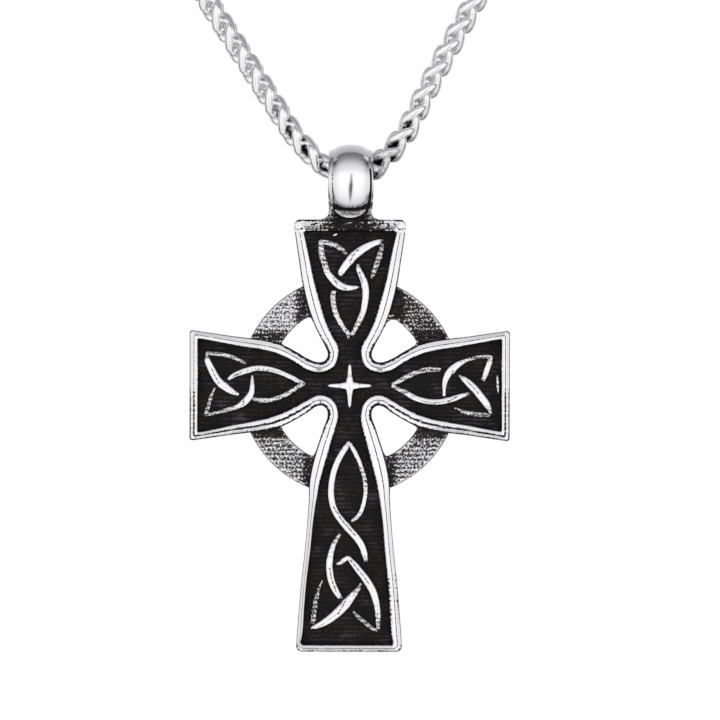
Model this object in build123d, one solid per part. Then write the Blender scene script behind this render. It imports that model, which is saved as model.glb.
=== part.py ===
from build123d import *
import math
import os

# A cast steel cross with a nimbus ring hangs on a closed wheat chain.
# Sizes are in millimetres. The front faces -Y and the top is +Z.
# The origin is the middle of the clasp, where the closed loop rests on the neck.

# The cross, measured from the point where its arms meet
top_reach = 16.6
side_reach = 16.0
foot_reach = 26.6
top_end_width = 11.2
side_end_width = 11.0
foot_end_width = 10.5
armpit_radius = 0.75
armpit_across = 2.95
armpit_above = 3.1
armpit_below = 2.75
corner_radius = 0.4
edge_pull = 0.4
cross_thickness = 2.8
rim_width = 0.95
rim_bevel = 0.3
field_depth = 1.0

# Each row is a station of an arm's edge, from its end in to the armpit:
# the share of the reach, and the share of the width at the end
top_stations = ((0.83, 0.94), (0.60, 0.84), (0.41, 0.69), (0.28, 0.52))
side_stations = ((0.83, 0.93), (0.60, 0.85), (0.42, 0.74), (0.29, 0.53))
foot_stations = ((0.82, 0.95), (0.60, 0.84), (0.42, 0.77), (0.30, 0.71), (0.19, 0.54))

# The nimbus ring that joins the four arms, lower than the rim
nimbus_outer_radius = 11.0
nimbus_inner_radius = 8.05
nimbus_front_setback = 0.55
nimbus_back_setback = 0.35
nimbus_bevel = 0.2

# The interlace on the sunken field of each arm
strand_width = 0.75
strand_height = 0.8
strand_sink = 0.15

# The star where the arms meet
star_points = 4
star_reach = 2.15
star_waist = 0.85
star_height = 0.8

# The bail, one casting with the cross, and the saddle that carries it
bail_outer_diameter = 7.2
bail_wall = 1.3
bail_width = 4.4
bail_crown = 0.35
bail_mouth = 0.3
bail_edge_round = 0.28
bail_above_cross = 0.36
saddle_width = 4.25
saddle_depth = 2.2
saddle_flare = 0.65

# The chain and how the bail hangs on it
chain_diameter = 2.1
bail_slack = 0.1
bail_run_half = 1.5
bail_bend_radius = 2.5
run_share = 0.45

# The closure at the top of the loop
fit_gap = 0.1
clasp_length = 11.0
clasp_width = 5.0
clasp_thickness = 1.7
claw_play = 0.25
clasp_wall = 1.1
clasp_tail_eye = 2.6
clasp_tail_hole = 1.4
clasp_edge_round = 0.35
jump_ring_outer = 5.0
jump_ring_wire = 0.8
cap_length = 5.0
cap_outer = 3.1
cap_bore_depth = 3.9
cap_eye_outer = 2.4
cap_eye_hole = 1.2
cap_eye_thickness = 0.8
cap_eye_sink = 0.2
cap_edge_round = 0.4

# The chain's route in the plane of the loop, from the left end over the bail to the
# right end, as chosen points (x, z). The first and last points lie in the end caps.
loop_left = (
    (-22.0, 0.0), (-46.0, -9.5), (-65.5, -33.0), (-72.0, -62.5), (-69.5, -91.5),
    (-57.0, -123.5), (-37.3, -158.5), (-18.3, -188.8), (-9.1, -203.0), (-5.5, -208.1),
)
loop_right = (
    (5.2, -207.6), (8.4, -201.2), (16.7, -186.0), (34.0, -156.0), (54.8, -121.0),
    (69.0, -90.0), (72.5, -62.0), (66.0, -33.0), (46.5, -9.5), (22.0, 0.0),
)
bail_run_z = -211.0

# The interlace. Each row is one raised strand: its share of the strand's width, then
# the points of its middle line as shares of the arm's reach and half its end width.
top_strands = (
    (0.85, (0.86, -0.57), (0.85, -0.38), (0.77, 0.01)),
    (1.00, (0.86, -0.55), (0.75, -0.50), (0.65, -0.38), (0.60, -0.18), (0.59, 0.19)),
    (1.00, (0.63, -0.27), (0.75, -0.04), (0.83, 0.23), (0.87, 0.57)),
    (0.70, (0.86, 0.57), (0.80, 0.55), (0.74, 0.48), (0.61, 0.29)),
    (0.90, (0.76, 0.05), (0.63, 0.23), (0.51, 0.27), (0.41, 0.18), (0.28, -0.01)),
    (0.75, (0.61, -0.33), (0.46, -0.29), (0.35, -0.14), (0.28, -0.02)),
)
left_strands = (
    (0.75, (0.90, 0.58), (0.78, 0.55), (0.62, 0.34)),
    (1.00, (0.89, 0.56), (0.86, 0.24), (0.77, -0.05), (0.63, -0.22)),
    (0.90, (0.79, 0.04), (0.66, 0.27), (0.54, 0.33), (0.41, 0.25), (0.27, 0.03)),
    (0.75, (0.28, 0.02), (0.37, -0.17), (0.50, -0.27), (0.62, -0.24)),
    (1.00, (0.60, 0.28), (0.59, 0.02), (0.61, -0.15), (0.68, -0.38), (0.80, -0.50), (0.91, -0.55)),
    (0.60, (0.82, 0.06), (0.87, -0.29), (0.90, -0.54)),
)
right_strands = (
    (0.75, (0.27, 0.00), (0.36, 0.18), (0.47, 0.30), (0.61, 0.27)),
    (0.95, (0.27, -0.02), (0.37, -0.18), (0.49, -0.29), (0.61, -0.29), (0.77, -0.05)),
    (1.10, (0.60, -0.24), (0.60, 0.14), (0.68, 0.43), (0.79, 0.53), (0.90, 0.56)),
    (0.80, (0.90, 0.55), (0.87, 0.28), (0.82, -0.02)),
    (1.00, (0.66, 0.31), (0.78, -0.06), (0.86, -0.34), (0.89, -0.51)),
    (0.75, (0.64, -0.32), (0.77, -0.53), (0.89, -0.54)),
)
foot_strands = (
    (1.00, (0.22, -0.01), (0.30, -0.26), (0.39, -0.35), (0.48, -0.26), (0.60, 0.24), (0.70, 0.32)),
    (0.75, (0.22, 0.01), (0.30, 0.22), (0.39, 0.32), (0.46, 0.24), (0.52, -0.02)),
    (1.00, (0.54, -0.08), (0.62, -0.33), (0.70, -0.35), (0.82, -0.10)),
    (1.00, (0.69, -0.28), (0.64, -0.02), (0.72, 0.29), (0.80, 0.50), (0.92, 0.56)),
    (0.75, (0.71, -0.40), (0.79, -0.60), (0.91, -0.70)),
    (1.10, (0.91, -0.70), (0.88, -0.33), (0.82, -0.03), (0.74, 0.30)),
    (0.75, (0.84, 0.02), (0.90, 0.31), (0.92, 0.56)),
)

# Sizes that follow from the ones above
tolerance = 0.01
chain_radius = chain_diameter / 2
bail_radius = bail_outer_diameter / 2
bail_hole_radius = bail_radius - bail_wall
bail_above_centre = top_reach + bail_above_cross + bail_radius
hinge_above_centre = bail_above_centre + bail_hole_radius - chain_radius - bail_slack
cross_z = bail_run_z - hinge_above_centre
front_y = -cross_thickness / 2
field_y = front_y + field_depth
ring_middle = (jump_ring_outer - jump_ring_wire) / 2
ring_bore_half = ring_middle - jump_ring_wire / 2
eye_to_ring = ring_bore_half - fit_gap + cap_eye_hole / 2
cap_to_ring = eye_to_ring + cap_eye_outer / 2 - cap_eye_sink
claw_ring_x = clasp_length / 2 - clasp_wall + ring_bore_half - claw_play
tail_hole_end = -clasp_length / 2 + (clasp_tail_eye - clasp_tail_hole) / 2
tail_ring_x = tail_hole_end - ring_bore_half + fit_gap
chain_end_inset = cap_to_ring + cap_length - cap_bore_depth + fit_gap
bore_radius = chain_radius + fit_gap


def rounded_path(points, fixed_radii=None):
    """Straight runs joined by tangent arcs, each as large as its two runs allow."""
    fixed_radii = fixed_radii or {}
    radii = []
    for i in range(1, len(points) - 1):
        before, at, after = (Vector(*points[k]) for k in (i - 1, i, i + 1))
        shorter = min((at - before).length, (after - at).length)
        turn = math.radians((at - before).get_angle(after - at))
        radii.append(fixed_radii.get(i, run_share * shorter / math.tan(turn / 2)))
    return FilletPolyline(*points, radius=radii), radii


def arm_edge(reach, end_width, stations, inset):
    """Points (along, across) of one edge of an arm, from its end in to the armpit."""
    half_end = end_width / 2
    points = [(reach - inset, half_end - inset)]
    points += [(share * reach, width * half_end - inset) for share, width in stations]
    return points


def cross_outline(inset):
    """The cross as a flat face, its edge moved in by inset."""
    arms = {
        "top": arm_edge(top_reach, top_end_width, top_stations, inset),
        "side": arm_edge(side_reach, side_end_width, side_stations, inset),
        "foot": arm_edge(foot_reach, foot_end_width, foot_stations, inset),
    }
    pit = armpit_radius + inset
    edges = []
    for across_sign in (1, -1):
        for upright, up_sign, pit_z in (("top", 1, armpit_above), ("foot", -1, armpit_below)):
            upright_edge = [(w * across_sign, t * up_sign) for t, w in arms[upright]]
            side_edge = [(t * across_sign, w * up_sign) for t, w in arms["side"]]
            on_upright = ((armpit_across - pit) * across_sign, pit_z * up_sign)
            on_side = (armpit_across * across_sign, (pit_z - pit) * up_sign)
            corner = (armpit_across * across_sign, pit_z * up_sign)
            start = math.degrees(math.atan2(on_upright[1] - corner[1], on_upright[0] - corner[0]))
            sweep_angle = 90 * across_sign * up_sign
            edges.append(Spline(*upright_edge, on_upright, tangents=((0, -up_sign), (0, -up_sign)),
                                tangent_scalars=(edge_pull, edge_pull)))
            edges.append(CenterArc(corner, pit, start, sweep_angle))
            edges.append(Spline(on_side, *reversed(side_edge),
                                tangents=((across_sign, 0), (across_sign, 0)),
                                tangent_scalars=(edge_pull, edge_pull)))
    for z_sign, edge in ((1, arms["top"]), (-1, arms["foot"])):
        edges.append(Line((-edge[0][1], edge[0][0] * z_sign), (edge[0][1], edge[0][0] * z_sign)))
    for x_sign in (1, -1):
        side_end = arms["side"][0]
        edges.append(Line((side_end[0] * x_sign, -side_end[1]), (side_end[0] * x_sign, side_end[1])))
    face = make_face(edges)
    ends = (top_reach - inset, -foot_reach + inset)
    corners = [v for v in face.vertices()
               if math.isclose(abs(v.X), side_reach - inset, abs_tol=tolerance)
               or any(math.isclose(v.Y, end, abs_tol=tolerance) for end in ends)]
    return fillet(corners, corner_radius)


def flat_block(face, front, back):
    """A face drawn as seen from the front, made a solid between two depths."""
    return extrude(Plane.XZ.offset(-back) * face, amount=back - front)


def bevel_block(inset, front_inset, back, front):
    """A ruled slope between two insets of the cross's outline."""
    sections = [Plane.XZ.offset(-back) * cross_outline(inset),
                Plane.XZ.offset(-front) * cross_outline(front_inset)]
    return loft(sections, ruled=True)


def nimbus_ring():
    """The flat ring through the four arms, with its front corners broken."""
    ring = flat_block(Circle(nimbus_outer_radius) - Circle(nimbus_inner_radius),
                      front_y + nimbus_front_setback, -front_y - nimbus_back_setback)
    return chamfer(ring.edges().group_by(Axis.Y)[0], nimbus_bevel)


def cross_plate():
    """The arms and the nimbus ring, with the arms' field sunk inside a bevelled rim."""
    bevel_y = front_y + rim_bevel
    arms = flat_block(cross_outline(0), bevel_y, -front_y)
    arms = arms + bevel_block(0, rim_bevel, bevel_y, front_y) + nimbus_ring()
    return arms - bevel_block(rim_width, rim_width - rim_bevel, field_y, front_y)


def strand(points, width_share):
    """One raised strand: a ridge swept over the field."""
    path, _ = rounded_path([(x, field_y, z) for x, z in points])
    half = strand_width * width_share / 2
    start = Plane(origin=path @ 0, x_dir=(path % 0).cross(Vector(0, -1, 0)), z_dir=path % 0)
    base = -strand_sink if start.y_dir.Y < 0 else strand_sink
    ridge = strand_height if start.y_dir.Y < 0 else -strand_height
    section = make_face(Polyline((-half, base), (0, ridge), (half, base), close=True))
    return sweep(start * section, path=path)


def interlace():
    """All the strands of the four arms."""
    strands = []
    for table, reach, end_width, turn in (
            (top_strands, top_reach, top_end_width, 90), (left_strands, side_reach, side_end_width, 180),
            (right_strands, side_reach, side_end_width, 0), (foot_strands, foot_reach, foot_end_width, -90)):
        along = (math.cos(math.radians(turn)), math.sin(math.radians(turn)))
        across = (abs(along[1]), abs(along[0]))
        for width_share, *shares in table:
            points = [(t * reach * along[0] + w * end_width / 2 * across[0],
                       t * reach * along[1] + w * end_width / 2 * across[1]) for t, w in shares]
            strands.append(strand(points, width_share))
    return strands


def star():
    """The star, a ridge on each ray up to a point at its middle."""
    corners = []
    for i in range(2 * star_points):
        reach = star_reach if i % 2 == 0 else star_waist
        turn = math.pi * i / star_points
        corners.append(Vector(reach * math.cos(turn), field_y + strand_sink, reach * math.sin(turn)))
    peak = Vector(0, field_y - star_height, 0)
    sides = zip(corners, corners[1:] + corners[:1])
    faces = [Face(Polyline(left, right, peak, close=True)) for left, right in sides]
    faces.append(Face(Polyline(*corners, close=True)))
    return Solid(Shell(faces))


def bail():
    """The bail ring, crowned outside and flared inside, its hole along X."""
    half = bail_width / 2
    outer_edge = bail_radius - bail_crown
    inner_edge = bail_hole_radius + bail_mouth
    section = make_face([
        ThreePointArc((-half, outer_edge), (0, bail_radius), (half, outer_edge)),
        Line((half, outer_edge), (half, inner_edge)),
        ThreePointArc((half, inner_edge), (0, bail_hole_radius), (-half, inner_edge)),
        Line((-half, inner_edge), (-half, outer_edge)),
    ])
    section = fillet(section.vertices(), bail_edge_round)
    return revolve(Plane.XZ * section, axis=Axis.X)


def saddle():
    """The block between the bail and the arm, with a concave flare on each side."""
    half = saddle_width / 2
    foot = top_reach - rim_bevel
    base = top_reach
    top = bail_above_centre - bail_hole_radius - bail_wall / 2
    lines = [Line((-half - saddle_flare, foot), (half + saddle_flare, foot)),
             Line((half + saddle_flare, foot), (half + saddle_flare, base)),
             CenterArc((half + saddle_flare, base + saddle_flare), saddle_flare, 180, 90),
             Line((half, base + saddle_flare), (half, top)),
             Line((half, top), (-half, top)),
             Line((-half, top), (-half, base + saddle_flare)),
             CenterArc((-half - saddle_flare, base + saddle_flare), saddle_flare, 270, 90),
             Line((-half - saddle_flare, base), (-half - saddle_flare, foot))]
    return flat_block(make_face(lines), -saddle_depth / 2, saddle_depth / 2)


def cross_pendant():
    """The whole casting: plate, nimbus ring, interlace, star, saddle and bail."""
    casting = cross_plate() + saddle() + Pos(0, 0, bail_above_centre) * bail()
    casting = casting + interlace() + star()
    return Pos(0, 0, cross_z) * casting


def wheat_chain():
    """The chain as one round rope along its whole loop."""
    bend_reach = {}
    for side, near in ((-1, loop_left[-1]), (1, loop_right[0])):
        slope = math.atan2(near[1] - bail_run_z, abs(near[0]) - bail_run_half)
        bend_reach[side] = bail_run_half + bail_bend_radius * math.tan(slope / 2)
    left_end = (tail_ring_x - chain_end_inset, 0.0)
    right_end = (claw_ring_x + chain_end_inset, 0.0)
    left_bend = (-bend_reach[-1], bail_run_z)
    right_bend = (bend_reach[1], bail_run_z)
    route = [left_end, *loop_left, left_bend, right_bend, *loop_right, right_end]
    bends = {len(loop_left) + 1: bail_bend_radius, len(loop_left) + 2: bail_bend_radius}
    path, radii = rounded_path([(x, 0, z) for x, z in route], bends)
    print("chain length", round(path.length, 1), "radii", [round(r, 1) for r in radii])
    start = Plane(origin=path @ 0, z_dir=path % 0)
    return sweep(start * Circle(chain_radius), path=path)


def jump_ring(x):
    """A soldered ring lying across the loop's plane."""
    return Pos(x, 0, 0) * Torus(ring_middle, jump_ring_wire / 2)


def end_cap(ring_x, side):
    """A cup over the chain's end, with a flat eye for the jump ring."""
    mouth = ring_x + side * (cap_to_ring + cap_length)
    root = ring_x + side * cap_to_ring
    cup = Pos((mouth + root) / 2, 0, 0) * Rot(0, 90, 0) * Cylinder(cap_outer / 2, cap_length)
    cup = fillet(cup.edges().filter_by(GeomType.CIRCLE), cap_edge_round)
    bore_x = mouth - side * cap_bore_depth / 2
    cup = cup - Pos(bore_x, 0, 0) * Rot(0, 90, 0) * Cylinder(bore_radius, cap_bore_depth)
    eye = Circle(cap_eye_outer / 2) - Circle(cap_eye_hole / 2)
    eye = flat_block(Pos(ring_x + side * eye_to_ring, 0) * eye,
                     -cap_eye_thickness / 2, cap_eye_thickness / 2)
    return cup + eye


def lobster_clasp():
    """The closed claw with the eye on its tail, one plain piece."""
    tail_x = -clasp_length / 2 + clasp_tail_eye / 2
    claw_left = tail_x + clasp_tail_eye / 2 - clasp_wall / 2
    claw_half = (clasp_length / 2 - claw_left) / 2
    claw_x = clasp_length / 2 - claw_half
    claw = Pos(claw_x, 0) * Ellipse(claw_half, clasp_width / 2)
    claw = claw - Pos(claw_x, 0) * Ellipse(claw_half - clasp_wall, clasp_width / 2 - clasp_wall)
    claw = flat_block(claw, -clasp_thickness / 2, clasp_thickness / 2)
    claw = fillet(claw.edges(), clasp_edge_round)
    tail = Pos(tail_x, 0) * (Circle(clasp_tail_eye / 2) - Circle(clasp_tail_hole / 2))
    return claw + flat_block(tail, -cap_eye_thickness / 2, cap_eye_thickness / 2)


os.makedirs("parts", exist_ok=True)
nodes = {
    "cross_pendant": cross_pendant(),
    "wheat_chain": wheat_chain(),
    "end_cap_left": end_cap(tail_ring_x, -1),
    "end_cap_right": end_cap(claw_ring_x, 1),
    "jump_ring_left": jump_ring(tail_ring_x),
    "jump_ring_right": jump_ring(claw_ring_x),
    "lobster_clasp": lobster_clasp(),
}
for name, shape in nodes.items():
    export_step(shape, f"parts/{name}.step")
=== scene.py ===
import math
import bpy
from mathutils import Matrix, Vector


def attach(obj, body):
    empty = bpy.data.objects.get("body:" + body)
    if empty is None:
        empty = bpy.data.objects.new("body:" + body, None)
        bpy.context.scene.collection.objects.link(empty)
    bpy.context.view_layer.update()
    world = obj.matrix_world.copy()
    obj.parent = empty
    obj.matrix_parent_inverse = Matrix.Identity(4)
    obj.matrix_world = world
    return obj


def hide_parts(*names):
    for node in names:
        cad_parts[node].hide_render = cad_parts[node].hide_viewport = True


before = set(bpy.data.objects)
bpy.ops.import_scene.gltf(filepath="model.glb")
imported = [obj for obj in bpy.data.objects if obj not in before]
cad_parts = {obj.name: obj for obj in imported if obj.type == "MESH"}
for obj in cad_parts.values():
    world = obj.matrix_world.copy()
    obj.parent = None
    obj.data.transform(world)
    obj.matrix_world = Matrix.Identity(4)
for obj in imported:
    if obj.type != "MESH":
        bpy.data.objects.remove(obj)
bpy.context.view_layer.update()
bpy.ops.object.select_all(action="DESELECT")

# The floor, the light and the camera.
# A plain floor of white paper lies well below the hanging necklace, inside a round tent of white
# cloth that is dim overhead and underfoot, with narrow gaps at both sides and one for the camera.
MM = 0.001
WHITE = (1, 1, 1, 1)
FLOOR_SIZE = 1.2
FLOOR_DROP = 0.45
FLOOR_COLOUR = (0.80, 0.80, 0.80, 1)
FLOOR_ROUGHNESS = 0.9
FLOOR_GLOW = 0.75


def calc(tree, operation, *terms):
    """One math node on sockets or numbers."""
    node = tree.nodes.new("ShaderNodeMath")
    node.operation = operation
    for socket, term in zip(node.inputs, terms):
        if isinstance(term, (int, float)):
            socket.default_value = term
        else:
            tree.links.new(term, socket)
    return node.outputs[0]


def settle(name):
    """Name the new object, and fix its place, turn and size in its mesh."""
    thing = bpy.context.object
    thing.name = name
    bpy.ops.object.transform_apply(location=True, rotation=True, scale=True)
    return thing


bpy.ops.mesh.primitive_grid_add(x_subdivisions=8, y_subdivisions=8, size=FLOOR_SIZE,
                                location=(0, 0, -FLOOR_DROP))
floor = settle("studio_floor")
floor_paper = bpy.data.materials.new("pale_floor")
floor_paper.use_nodes = True
floor_tree = floor_paper.node_tree
floor_shader = floor_tree.nodes["Principled BSDF"]
floor_shader.inputs["Base Color"].default_value = FLOOR_COLOUR
floor_shader.inputs["Roughness"].default_value = FLOOR_ROUGHNESS
floor_shader.inputs["Emission Color"].default_value = WHITE
# The paper looks as white as the tent does, and sheds no more light on the object for it
seen = floor_tree.nodes.new("ShaderNodeLightPath")
floor_glow = calc(floor_tree, "MULTIPLY", seen.outputs["Is Camera Ray"], FLOOR_GLOW)
floor_tree.links.new(floor_glow, floor_shader.inputs["Emission Strength"])
floor.data.materials.append(floor_paper)
floor.visible_glossy = False

TENT_STRENGTH = 1.12
TENT_LAVENDER = (0.93, 0.925, 0.96, 1)
LAVENDER_FROM = 0.1
LAVENDER_TO = 0.7
# How bright the tent is, as one turns from behind the object, under it, in front of it, over it
# and behind it again: turn from straight ahead as a share of half a turn, then brightness
TENT_RING = ((-1.00, 0.85), (-0.84, 0.72), (-0.70, 0.50), (-0.61, 0.14), (-0.55, 0.03), (-0.52, 0.08),
             (-0.49, 0.60), (-0.31, 0.86), (-0.18, 0.95), (0.00, 1.0), (0.13, 0.96), (0.19, 0.80),
             (0.27, 0.70), (0.34, 0.50), (0.40, 0.32), (0.47, 0.19), (0.55, 0.14), (0.57, 0.40),
             (0.66, 0.50), (1.00, 0.85))
# The camera's gap is a leaning leaf-shaped slit in front. Here and below, places in the tent
# are parts of a direction one long: across, forward or up.
SLIT_HALF = 0.058
SLIT_SOFT = 0.010
SLIT_TOP = 0.34
SLIT_BOTTOM = -0.92
SLIT_END_SOFT = 0.1
SLIT_WIDEST = -0.43
SLIT_TAPER = 4.5
SLIT_LEAN = 0.035
SLIT_GLOW = 0.01
# The gaps at both sides, and how the cloth dims towards them
GAP_HALF = 0.10
GAP_SOFT = 0.08
GAP_FROM = 0.6
GAP_TO = 0.8
GAP_GLOW = 0.12
SIDE_DIM = 0.25
SIDE_DIM_FROM = 0.30
SIDE_DIM_TO = 0.95


def step_between(tree, source, low, high):
    """A smooth step that rises from 0 at low to 1 at high."""
    node = tree.nodes.new("ShaderNodeMapRange")
    node.interpolation_type = "SMOOTHSTEP"
    node.inputs["From Min"].default_value = low
    node.inputs["From Max"].default_value = high
    tree.links.new(source, node.inputs["Value"])
    return node.outputs["Result"]


def times(tree, first, second):
    """The product of two colours, the second of which may be one fixed colour, and its factor."""
    node = tree.nodes.new("ShaderNodeMix")
    node.data_type = "RGBA"
    node.blend_type = "MULTIPLY"
    node.inputs["Factor"].default_value = 1.0
    tree.links.new(first, node.inputs[6])
    if isinstance(second, tuple):
        node.inputs[7].default_value = second
    else:
        tree.links.new(second, node.inputs[7])
    return node.outputs[2], node.inputs["Factor"]


world = bpy.data.worlds.new("light_tent")
bpy.context.scene.world = world
world.use_nodes = True
tent = world.node_tree
tent.nodes.clear()
direction = tent.nodes.new("ShaderNodeTexCoord")
parts = tent.nodes.new("ShaderNodeSeparateXYZ")
tent.links.new(direction.outputs["Generated"], parts.inputs[0])
across, depth, up = parts.outputs
turn = calc(tent, "ARCTAN2", up, calc(tent, "MULTIPLY", depth, -1.0))
ring_ramp = tent.nodes.new("ShaderNodeValToRGB")
ring_stops = ring_ramp.color_ramp.elements
while len(ring_stops) > 1:
    ring_stops.remove(ring_stops[-1])
ring_stops[0].position = 0
for i, (place, grey) in enumerate(TENT_RING):
    stop = ring_stops[0] if i == 0 else ring_stops.new(place * 0.5 + 0.5)
    stop.color = (grey, grey, grey, 1)
tent.links.new(calc(tent, "MULTIPLY_ADD", turn, 0.5 / math.pi, 0.5), ring_ramp.inputs[0])

from_widest = calc(tent, "SUBTRACT", up, SLIT_WIDEST)
leaf = calc(tent, "MULTIPLY_ADD", calc(tent, "MULTIPLY", from_widest, from_widest), SLIT_TAPER, 1.0)
slit_middle = calc(tent, "MULTIPLY", from_widest, SLIT_LEAN)
off_middle = calc(tent, "ABSOLUTE", calc(tent, "SUBTRACT", across, slit_middle))
beside = step_between(tent, calc(tent, "MULTIPLY", off_middle, leaf),
                      SLIT_HALF - SLIT_SOFT, SLIT_HALF + SLIT_SOFT)
above = step_between(tent, up, SLIT_TOP - SLIT_END_SOFT, SLIT_TOP + SLIT_END_SOFT)
not_below = step_between(tent, up, SLIT_BOTTOM - SLIT_END_SOFT, SLIT_BOTTOM + SLIT_END_SOFT)
below = calc(tent, "SUBTRACT", 1.0, not_below)
behind = step_between(tent, depth, -SLIT_END_SOFT, SLIT_END_SOFT)
off_slit = calc(tent, "MAXIMUM", calc(tent, "MAXIMUM", beside, above),
                calc(tent, "MAXIMUM", below, behind))
slit_glow = calc(tent, "MAXIMUM", off_slit, SLIT_GLOW)

far_across = calc(tent, "ABSOLUTE", across)
off_side = step_between(tent, calc(tent, "ABSOLUTE", depth), GAP_HALF, GAP_HALF + GAP_SOFT)
near_middle = calc(tent, "SUBTRACT", 1.0, step_between(tent, far_across, GAP_FROM, GAP_TO))
gap_glow = calc(tent, "MAXIMUM", calc(tent, "MAXIMUM", off_side, near_middle), GAP_GLOW)
toward_side = step_between(tent, far_across, SIDE_DIM_FROM, SIDE_DIM_TO)
side_dim = calc(tent, "MULTIPLY_ADD", toward_side, -SIDE_DIM, 1.0)
glow = calc(tent, "MULTIPLY", calc(tent, "MULTIPLY", slit_glow, gap_glow), side_dim)
white_cloth, _ = times(tent, ring_ramp.outputs["Color"], glow)
tinted_cloth, tint_share = times(tent, white_cloth, TENT_LAVENDER)
tent.links.new(step_between(tent, up, LAVENDER_FROM, LAVENDER_TO), tint_share)
cloth = tent.nodes.new("ShaderNodeBackground")
cloth.inputs["Strength"].default_value = TENT_STRENGTH
tent.links.new(tinted_cloth, cloth.inputs["Color"])
paper = tent.nodes.new("ShaderNodeBackground")
paper.inputs["Color"].default_value = WHITE
rays = tent.nodes.new("ShaderNodeLightPath")
choose = tent.nodes.new("ShaderNodeMixShader")
tent.links.new(rays.outputs["Is Camera Ray"], choose.inputs[0])
tent.links.new(cloth.outputs[0], choose.inputs[1])
tent.links.new(paper.outputs[0], choose.inputs[2])
tent_out = tent.nodes.new("ShaderNodeOutputWorld")
tent.links.new(choose.outputs[0], tent_out.inputs["Surface"])

bpy.context.scene.view_settings.view_transform = "Standard"

LENS = 200
SENSOR = 36
VIEW_WIDE = 72.14 * MM
VIEW_MIDDLE = Vector((1.025 * MM, 0, -230.14 * MM))
CAMERA_ROLL = -0.15
camera_data = bpy.data.cameras.new("front_camera")
camera_data.lens = LENS
camera_data.sensor_width = SENSOR
camera_data.clip_start = 10 * MM
camera = bpy.data.objects.new("front_camera", camera_data)
bpy.context.scene.collection.objects.link(camera)
camera.location = VIEW_MIDDLE + Vector((0, -VIEW_WIDE * LENS / SENSOR, 0))
camera.rotation_euler = (math.pi / 2, math.radians(CAMERA_ROLL), 0)
bpy.context.scene.camera = camera

# The plate and rim of the cross.
# One steel casting, modelled in millimetres, lying on its back with its middle at the origin.
# Each arm's edge is a row of stations in from its end: along, outer and inner half width. An arm
# is its reach, the half width of its end, and its stations.
CROSS_UP = -232.71
TOP_EDGE = ((14.5, 5.40, 4.36), (12.5, 5.10, 3.92), (10.5, 4.80, 3.50), (8.5, 4.38, 3.02),
            (6.5, 3.72, 2.50), (5.0, 3.03, 1.87), (4.0, 2.50, 1.36))
SIDE_EDGE = ((14.0, 5.26, 4.42), (12.0, 4.96, 4.03), (10.0, 4.72, 3.70), (8.0, 4.42, 3.33),
             (6.65, 4.03, 2.87), (5.25, 3.32, 2.17), (4.25, 2.72, 1.60))
FOOT_EDGE = ((25.0, 5.22, 4.50), (21.9, 4.98, 4.30), (19.4, 4.76, 4.10), (16.4, 4.43, 3.75),
             (13.4, 4.18, 3.45), (11.4, 4.05, 3.14), (9.8, 4.03, 2.84), (8.4, 3.84, 2.48),
             (6.6, 3.38, 2.00), (5.4, 2.98, 1.70), (4.4, 2.66, 1.40))
ARMS = {"top": (16.6, 5.60, TOP_EDGE), "side": (16.0, 5.50, SIDE_EDGE), "foot": (26.6, 5.28, FOOT_EDGE)}
# The round armpits: the middle of each, its radius outside, and how much more it is inside
PIT_ACROSS = 2.95
PIT_UP = {"top": 3.1, "foot": 2.75}
PIT_RADIUS = 0.75
PIT_RIM = 1.15
# How wide the rim is at each arm's end, and where the plate's back and its sunken field lie
RIM = {"top": 1.2, "side": 0.9, "foot": 0.75}
HALF_THICK = 1.4
FIELD = 0.4
# Points closer than this where two strips of the rim meet are one, and this is level with a loop
SEAM_MERGE = 1e-5
SAME_HEIGHT = 1e-4
# How an arm's corners are rounded, how much of the rim's narrowing its end takes, and how much
# sharper its inner corners are
CORNER = {"top": 0.6, "side": 0.3, "foot": 0.6}
CORNER_PULL = 0.55
END_NARROWING = 0.85
CORNER_SHARPENING = 0.6
# The section across the edge: share of the rim inward, height, and how much black oxide stays there;
# along the crest's narrow flat top that black is painted, a dark reflection of the tent's gap for the
# camera
RIM_SECTION = ((0.14, -HALF_THICK, 0.22), (0.03, -HALF_THICK + 0.12, 0.1), (0.0, -HALF_THICK + 0.25, 0.15),
               (0.0, 0.10, 0.15), (0.0, 0.80, 0.35), (0.0, 0.98, 0.8), (0.035, 1.09, 0.85),
               (0.08, 1.19, 0.7), (0.11, 1.235, 0.05), (0.22, 1.28, 0.0), (0.34, 1.33, 0.0),
               (0.455, 1.385, 0.1), (0.475, 1.39, 0.8), (0.525, 1.39, 0.8), (0.545, 1.385, 0.1),
               (0.68, 1.335, 0.0), (0.78, 1.30, 0.0), (0.85, 1.27, 0.2), (0.92, 1.19, 0.7),
               (1.0, FIELD, 1.15))
# How far the rim's inner edge leans out (or in, below 0), at distances from the middle, by the arm
# and by the quarter's side of it: the casting isn't quite even
INNER_LEAN = {("top", -1, 1): ((4, -0.28), (10, -0.03)), ("top", 1, 1): ((4, -0.25), (10, 0.0)),
              ("side", -1, 1): ((4, -0.20), (7, 0.0)), ("side", 1, 1): ((4, -0.18), (6, 0.0)),
              ("side", -1, -1): ((4, -0.26), (6.6, -0.30), (11, -0.13), (14, 0.0)),
              ("side", 1, -1): ((4, -0.25), (10, -0.18), (14, -0.16)),
              ("foot", -1, -1): ((4, -0.07), (10, 0.07), (20, 0.10), (26, 0.16)),
              ("foot", 1, -1): ((4, -0.21), (11, -0.23), (20, -0.38), (26, -0.34))}


def ramp(value, low, high):
    """0 at low, 1 at high, and in proportion between them."""
    return max(0.0, min(1.0, (value - low) / (high - low)))


def along_stations(stations, along):
    """A value at a place between stations."""
    for (low, here), (high, there) in zip(stations, stations[1:]):
        if along <= high:
            return here + (there - here) * ramp(along, low, high)
    return stations[-1][1]


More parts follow.
